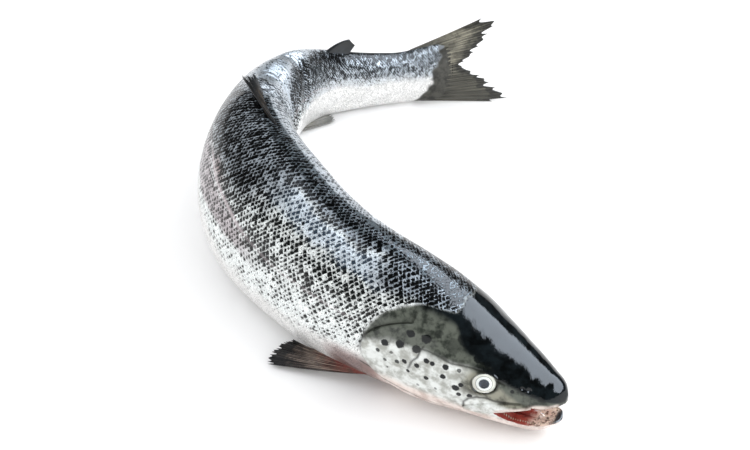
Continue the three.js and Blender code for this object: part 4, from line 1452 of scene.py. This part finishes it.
def lining_nodes(add):
    """Wet lining of a mouth: deep red flesh at the rear, knobby beige gums in front, shiny with slime."""
    place = add("TexCoord").outputs["Object"]
    gum, tip, _ = add("SeparateColor", add("Attribute", attribute_name="flesh")).outputs
    ridges = add("TexNoise", {"Vector": place, "Scale": 420.0, "Detail": 3.0, "Roughness": 0.6})
    patches = add("TexNoise", {"Vector": place, "Scale": 120.0, "Detail": 2.0})
    throat = add("Mix", {0: patches, 6: "#6b1d1a", 7: "#b85a4e"}, data_type="RGBA")
    knobs = add("MapRange", ridges, 0.38, 0.52, 0.0, 1.0)
    jaw = add("Mix", {0: knobs, 6: "#634638", 7: "#ead5c6"}, data_type="RGBA")
    colour = add("Mix", {0: gum, 6: throat, 7: jaw}, data_type="RGBA")
    colour = add("Mix", {0: tip, 6: colour, 7: "#0d0c0b"}, data_type="RGBA")
    bump = add("Bump", {"Strength": 0.6, "Distance": 0.0005, "Height": ridges})
    return add("BsdfPrincipled", {
        "Base Color": colour, "Roughness": 0.28, "Normal": bump, "IOR": 1.4,
        "Subsurface Weight": 0.1, "Subsurface Scale": 0.002, "Coat Weight": 0.6, "Coat Roughness": 0.08,
    })


def tooth_nodes(add):
    """Small teeth: ivory enamel, yellower at the root, with a clear gloss."""
    stain = add("TexNoise", {"Vector": add("TexCoord").outputs["Object"], "Scale": 700.0, "Detail": 2.0})
    colour = add("Mix", {0: stain, 6: "#a8977a", 7: "#e6dcc6"}, data_type="RGBA")
    return add("BsdfPrincipled", {"Base Color": colour, "Roughness": 0.2, "IOR": 1.6})


def eye_nodes(add):
    """A dead fish's eye: cream iris with a thin dark ring, and a flat blue black pupil."""
    veins = add("TexNoise", {"Vector": add("TexCoord").outputs["Object"], "Scale": 900.0, "Detail": 3.0})
    reach = add("VectorMath", add("UVMap", uv_map="disc"), operation="LENGTH")
    waver = add("Math", veins, 0.5, reach, operation="MULTIPLY_ADD")
    rings = add("ValToRGB", add("Math", waver, EYE_RADIUS, operation="DIVIDE"))
    edge = bpy.context.scene.salmon_sizes.pupil / MM / 2 / EYE_RADIUS
    stops = [
        (0, "#2a303c"), (edge - 0.03, "#262b36"), (edge, "#0b0d12"), (edge + 0.03, "#f7f4ec"),
        (0.55, "#f9f6ee"), (0.58, "#8d8674"), (0.62, "#efe8d8"), (0.77, "#f6f0e2"), (0.82, "#8a8270"),
        (0.87, "#1d1c18"),
    ]
    ramp = rings.color_ramp
    for position, _ in stops[2:]:
        ramp.elements.new(position)
    for element, (position, colour) in zip(ramp.elements, stops):
        element.position = position
        element.color = opaque(colour)
    return add("BsdfPrincipled", {"Base Color": rings, "Roughness": 0.18, "IOR": 1.4, "Coat Weight": 0.5})


def cornea_nodes(add):
    """A wet cornea: clear, with a small sharp highlight."""
    return add("BsdfPrincipled", {
        "Base Color": (0.96, 0.98, 0.98, 1), "Roughness": 0.03, "IOR": 1.12, "Transmission Weight": 1.0,
    })


def fin_nodes(add, membrane, bone, edge, root, dark_from, smudge=0.3, lower=0.0, rib_height=0.0004):
    """A wet fin: thin dull membrane between bony rays that catch the light, darker at its edge and front
    ray. Its root, the share of its smudges and the darkness of its lower half differ from fin to fin."""
    ray, outward, _ = add("SeparateXYZ", add("UVMap", uv_map="rays")).outputs
    place = add("TexCoord").outputs["Object"]
    blotch = add("TexNoise", {"Vector": place, "Scale": 160.0, "Detail": 4.0, "Roughness": 0.6})
    stretched = add("Math", outward, 0.6, operation="MULTIPLY")
    streak = add("TexNoise", {"Vector": add("CombineXYZ", ray, stretched), "Scale": 3.0, "Detail": 3.0})
    streaks = add("MapRange", streak, 0.42, 0.62, 0.0, 1.0)
    ribs = []
    for turns in (1.0, 2.0):
        wave = add("Math", ray, turns * 2 * math.pi, operation="MULTIPLY")
        wave = add("Math", wave, operation="COSINE")
        ribs.append(add("Math", wave, 0.5, 0.5, operation="MULTIPLY_ADD"))
    branching = add("MapRange", outward, 0.3, 0.8, 0.0, 1.0)
    rib = add("Mix", {0: branching, 2: ribs[0], 3: ribs[1]}, data_type="FLOAT")
    reach = add("Math", blotch, 0.5, outward, operation="MULTIPLY_ADD")
    darkest = add("MapRange", blotch, 0.48, 0.62, 0.0, smudge)
    for shade in (
        add("MapRange", ray, 6.5, 9.5, lower, 0.0),
        add("MapRange", ray, 0.3, 1.0, 0.8, 0.0),
        add("MapRange", reach, dark_from, dark_from + 0.3, 0.0, 0.95),
    ):
        darkest = add("Math", darkest, shade, operation="MAXIMUM")
    bony = add("Math", rib, streaks, operation="MULTIPLY")
    near_root = add("MapRange", reach, 0.3, 0.75, 0.9, 0.0)
    colour = membrane
    for mask, over in ((bony, bone), (near_root, root), (darkest, edge)):
        colour = add("Mix", {0: mask, 6: colour, 7: over}, data_type="RGBA")
    bump = add("Bump", {"Strength": 0.5, "Distance": rib_height, "Height": rib})
    return add("BsdfPrincipled", {
        "Base Color": colour, "Roughness": 0.38, "Normal": bump, "IOR": 1.4,
        "Coat Weight": 0.35, "Coat Roughness": 0.15,
    })


def floor_nodes(add):
    """A white matt table top with the faintest unevenness."""
    tone = add("TexNoise", {"Vector": add("TexCoord").outputs["Object"], "Scale": 3.0, "Detail": 2.0})
    colour = add("Mix", {0: tone, 6: "#f7f6f5", 7: "#fbfbfb"}, data_type="RGBA")
    return add("BsdfPrincipled", {"Base Color": colour, "Roughness": 0.7, "IOR": 1.3})


# Each finish has its builder. A fin's also has the colours of its membrane, rays, edge and root, the
# share of its length where the dark edge starts, how dark its smudges and its lower half are, and how
# high its rays stand, in metres.
FINISHES = {
    SKIN: (skin_nodes,),
    LINING: (lining_nodes,),
    "ivory_tooth_enamel": (tooth_nodes,),
    "cream_fish_iris": (eye_nodes,),
    "clear_wet_cornea": (cornea_nodes,),
    "white_matt_table": (floor_nodes,),
    "dark_pectoral_fin": (fin_nodes, "#3a2d28", "#c9b6a6", "#0b0b0c", "#7d3a31", 0.8),
    "pale_lower_fin": (fin_nodes, "#85827a", "#b9b5a8", "#56544b", "#c9c6bc", 0.9),
    "dark_dorsal_fin": (fin_nodes, "#151517", "#574936", "#060708", "#101316", 0.8),
    "olive_tail_fin": (fin_nodes, "#6f6c5f", "#aaa592", "#25241f", "#4b4b46", 0.85, 0.5, 0.75),
    "fleshy_adipose_fin": (fin_nodes, "#1a1e22", "#20252a", "#0e1113", "#2a3036", 0.7, 0.3, 0.0, 0.00005),
}


# Studio: azimuth from +Y towards +X and elevation, in degrees; distance, sizes in metres; power in watts.
RIGHT = {"azimuth": 92, "elevation": 44, "long_axis": (0, 1, 0.42), "size": (3.2, 1.0)}
SOFTBOXES = {
    "right_softbox": RIGHT | {
        "distance": 1.5, "power": 15, "colour": "#fbfdff", "lights": True, "glints": False,
    },
    "right_glint": RIGHT | {
        "distance": 1.42, "power": 108, "colour": "#e2edfa", "lights": False, "glints": True,
    },
    "left_softbox": {
        "azimuth": -85, "elevation": 60, "distance": 1.7, "long_axis": (0, 1, 0), "size": (1.1, 0.8),
        "power": 4, "colour": "#eaf3ff", "lights": True, "glints": True,
    },
    "overhead_fill": {
        "azimuth": 180, "elevation": 80, "distance": 2.4, "long_axis": (1, 0, 0), "size": (3.4, 3.0),
        "power": 8, "colour": "#ffffff", "lights": True, "glints": False,
    },
}
WORLD_LEVEL = 1.0
MIRRORED_LEVEL = 0.06
CAMERA_OFFSET = (-140.3, -714.0)
CAMERA_HEIGHT = 816.3
CAMERA_PITCH = 40.29
CAMERA_LENS = 66.9
FLOOR_REACH = 9


def add_softbox(name, azimuth, elevation, distance, long_axis, size, power, colour, lights, glints):
    """An area light that faces the head, turned so that its long side follows long_axis. It lights
    what is matt, or gives the glints on what is wet, or both."""
    aim = Vector(metres(skin_point(np.float64(0.1), 0)))
    turn, rise = math.radians(azimuth), math.radians(elevation)
    away = Vector((math.sin(turn) * math.cos(rise), math.cos(turn) * math.cos(rise), math.sin(rise)))
    light = bpy.data.lights.new(name, "AREA")
    light.shape = "RECTANGLE"
    light.size, light.size_y = size
    light.energy = power
    light.color = linear(colour)
    lamp = add_object(name, light)
    along = Vector(long_axis)
    along = (along - away * along.dot(away)).normalized()
    basis = Matrix((along, away.cross(along), away)).transposed().to_4x4()
    lamp.matrix_world = Matrix.Translation(aim + away * distance) @ basis
    lamp.visible_diffuse = lights
    lamp.visible_glossy = glints


def add_camera():
    """The camera of the photographed view: it looks level along +Y and down."""
    lens = bpy.data.cameras.new("camera")
    lens.lens = CAMERA_LENS
    camera = add_object("camera", lens)
    nose = frame_at(np.float64(0))[0]
    camera.location = metres(nose + np.array([*CAMERA_OFFSET, CAMERA_HEIGHT]))
    camera.rotation_euler = (math.radians(90 - CAMERA_PITCH), 0, 0)
    bpy.context.scene.camera = camera


def add_floor():
    shape = bmesh.new()
    bmesh.ops.create_grid(shape, x_segments=1, y_segments=1, size=FLOOR_REACH)
    floor = add_object("table_top", finished(shape, "table_top"))
    floor.data.materials.append(material("white_matt_table"))


def add_world():
    """A bright room that looks dark in reflections, so wet skin mirrors little but the softboxes."""
    world = bpy.data.worlds.new("white_studio")
    world.use_nodes = True
    world.node_tree.nodes.clear()
    add = partial(add_node, world.node_tree)
    mirrored = add("LightPath").outputs["Is Glossy Ray"]
    level = add("MapRange", {0: mirrored, 3: WORLD_LEVEL, 4: MIRRORED_LEVEL})
    add("OutputWorld", add("Background", "#ffffff", level))
    bpy.context.scene.world = world


class SalmonSizes(PropertyGroup):
    """Sizes that a user would change."""

    scale_height: FloatProperty(
        name="Scale height", description="How far a scale's rim stands up",
        default=0.18 * MM, unit="LENGTH", precision=5,
    )
    tooth_height: FloatProperty(
        name="Tooth height", description="Height of the tallest teeth",
        default=1.9 * MM, unit="LENGTH", precision=5,
    )
    pupil: FloatProperty(
        name="Pupil", description="Diameter of the pupils",
        default=8.1 * MM, unit="LENGTH", precision=5,
    )


class SalmonColours(PropertyGroup):
    """The pale and dark colour of each zone of the skin."""


for tone_name, (pale_hex, dark_hex, zone) in TONES.items():
    for part, hex_value in (("pale", pale_hex), ("dark", dark_hex)):
        SalmonColours.__annotations__[f"{tone_name}_{part}"] = FloatVectorProperty(
            name=f"{tone_name} {part}".capitalize(), description=f"The {part} colour of the {zone}",
            subtype="COLOR", size=3, min=0, max=1, default=tuple(linear(hex_value)),
        )


class SALMON_OT_head(Operator):
    """Builds the head's skin, cuts the mouth with its lining, and adds the plates of the upper jaw"""

    bl_idname = "salmon.head"
    bl_label = "Head"

    def execute(self, context):
        head_pieces(context.scene.salmon_sizes, context.scene.salmon_colours)
        for side in SIDES:
            maxilla_piece(side, context.scene.salmon_colours)
        return {"FINISHED"}


class SALMON_OT_trunk(Operator):
    """Builds the scaled skin of the trunk in two stretches"""

    bl_idname = "salmon.trunk"
    bl_label = "Trunk"

    def execute(self, context):
        sizes, colours = context.scene.salmon_sizes, context.scene.salmon_colours
        trunk_piece("fore_skin", 0, FORE_RINGS, sizes, colours)
        trunk_piece("rear_skin", FORE_RINGS, REAR_RINGS, sizes, colours)
        return {"FINISHED"}


class SALMON_OT_mouth(Operator):
    """Builds the teeth and the tongue"""

    bl_idname = "salmon.mouth"
    bl_label = "Teeth and tongue"

    def execute(self, context):
        for name, row in TEETH.items():
            teeth_piece(name, context.scene.salmon_sizes.tooth_height / MM, **row)
        tongue_piece()
        return {"FINISHED"}


class SALMON_OT_eyes(Operator):
    """Builds the eyeballs and corneas"""

    bl_idname = "salmon.eyes"
    bl_label = "Eyes"

    def execute(self, context):
        for side in SIDES:
            eye_pieces(side)
        return {"FINISHED"}


class SALMON_OT_fins(Operator):
    """Builds the paired fins, the fins of the back and belly, and the tail fin"""

    bl_idname = "salmon.fins"
    bl_label = "Fins"

    def execute(self, context):
        for name, (fin, side) in FINS.items():
            mesh = fin_mesh(name, fin, fin_ray(fin, side) if side else tail_ray)
            add_piece(mesh, fin["finish"], "fin", FISH)
        return {"FINISHED"}


class SALMON_OT_stage(Operator):
    """Builds the camera, the table top and the studio lights"""

    bl_idname = "salmon.stage"
    bl_label = "Stage"

    def execute(self, context):
        add_camera()
        add_floor()
        add_world()
        for name, settings in SOFTBOXES.items():
            add_softbox(name, **settings)
        context.scene.view_settings.view_transform = "Standard"
        return {"FINISHED"}


class SALMON_PT_panel(Panel):
    """Lists the parts of the salmon in the sidebar"""

    bl_label = "Salmon"
    bl_space_type = "VIEW_3D"
    bl_region_type = "UI"
    bl_category = "Salmon"

    def draw(self, context):
        for step in STEPS:
            self.layout.operator(f"salmon.{step}")
        for name in SalmonSizes.__annotations__:
            self.layout.prop(context.scene.salmon_sizes, name)


STEPS = ("stage", "head", "trunk", "mouth", "eyes", "fins")
CLASSES = (
    SalmonSizes, SalmonColours, SALMON_OT_stage, SALMON_OT_head, SALMON_OT_trunk,
    SALMON_OT_mouth, SALMON_OT_eyes, SALMON_OT_fins, SALMON_PT_panel,
)


def register():
    for made in CLASSES:
        bpy.utils.register_class(made)
    bpy.types.Scene.salmon_sizes = PointerProperty(type=SalmonSizes)
    bpy.types.Scene.salmon_colours = PointerProperty(type=SalmonColours)


def unregister():
    del bpy.types.Scene.salmon_colours
    del bpy.types.Scene.salmon_sizes
    for made in reversed(CLASSES):
        bpy.utils.unregister_class(made)


def main():
    """Builds everything in order."""
    register()
    for step in STEPS:
        getattr(bpy.ops.salmon, step)()


if __name__ == "__main__":
    main()
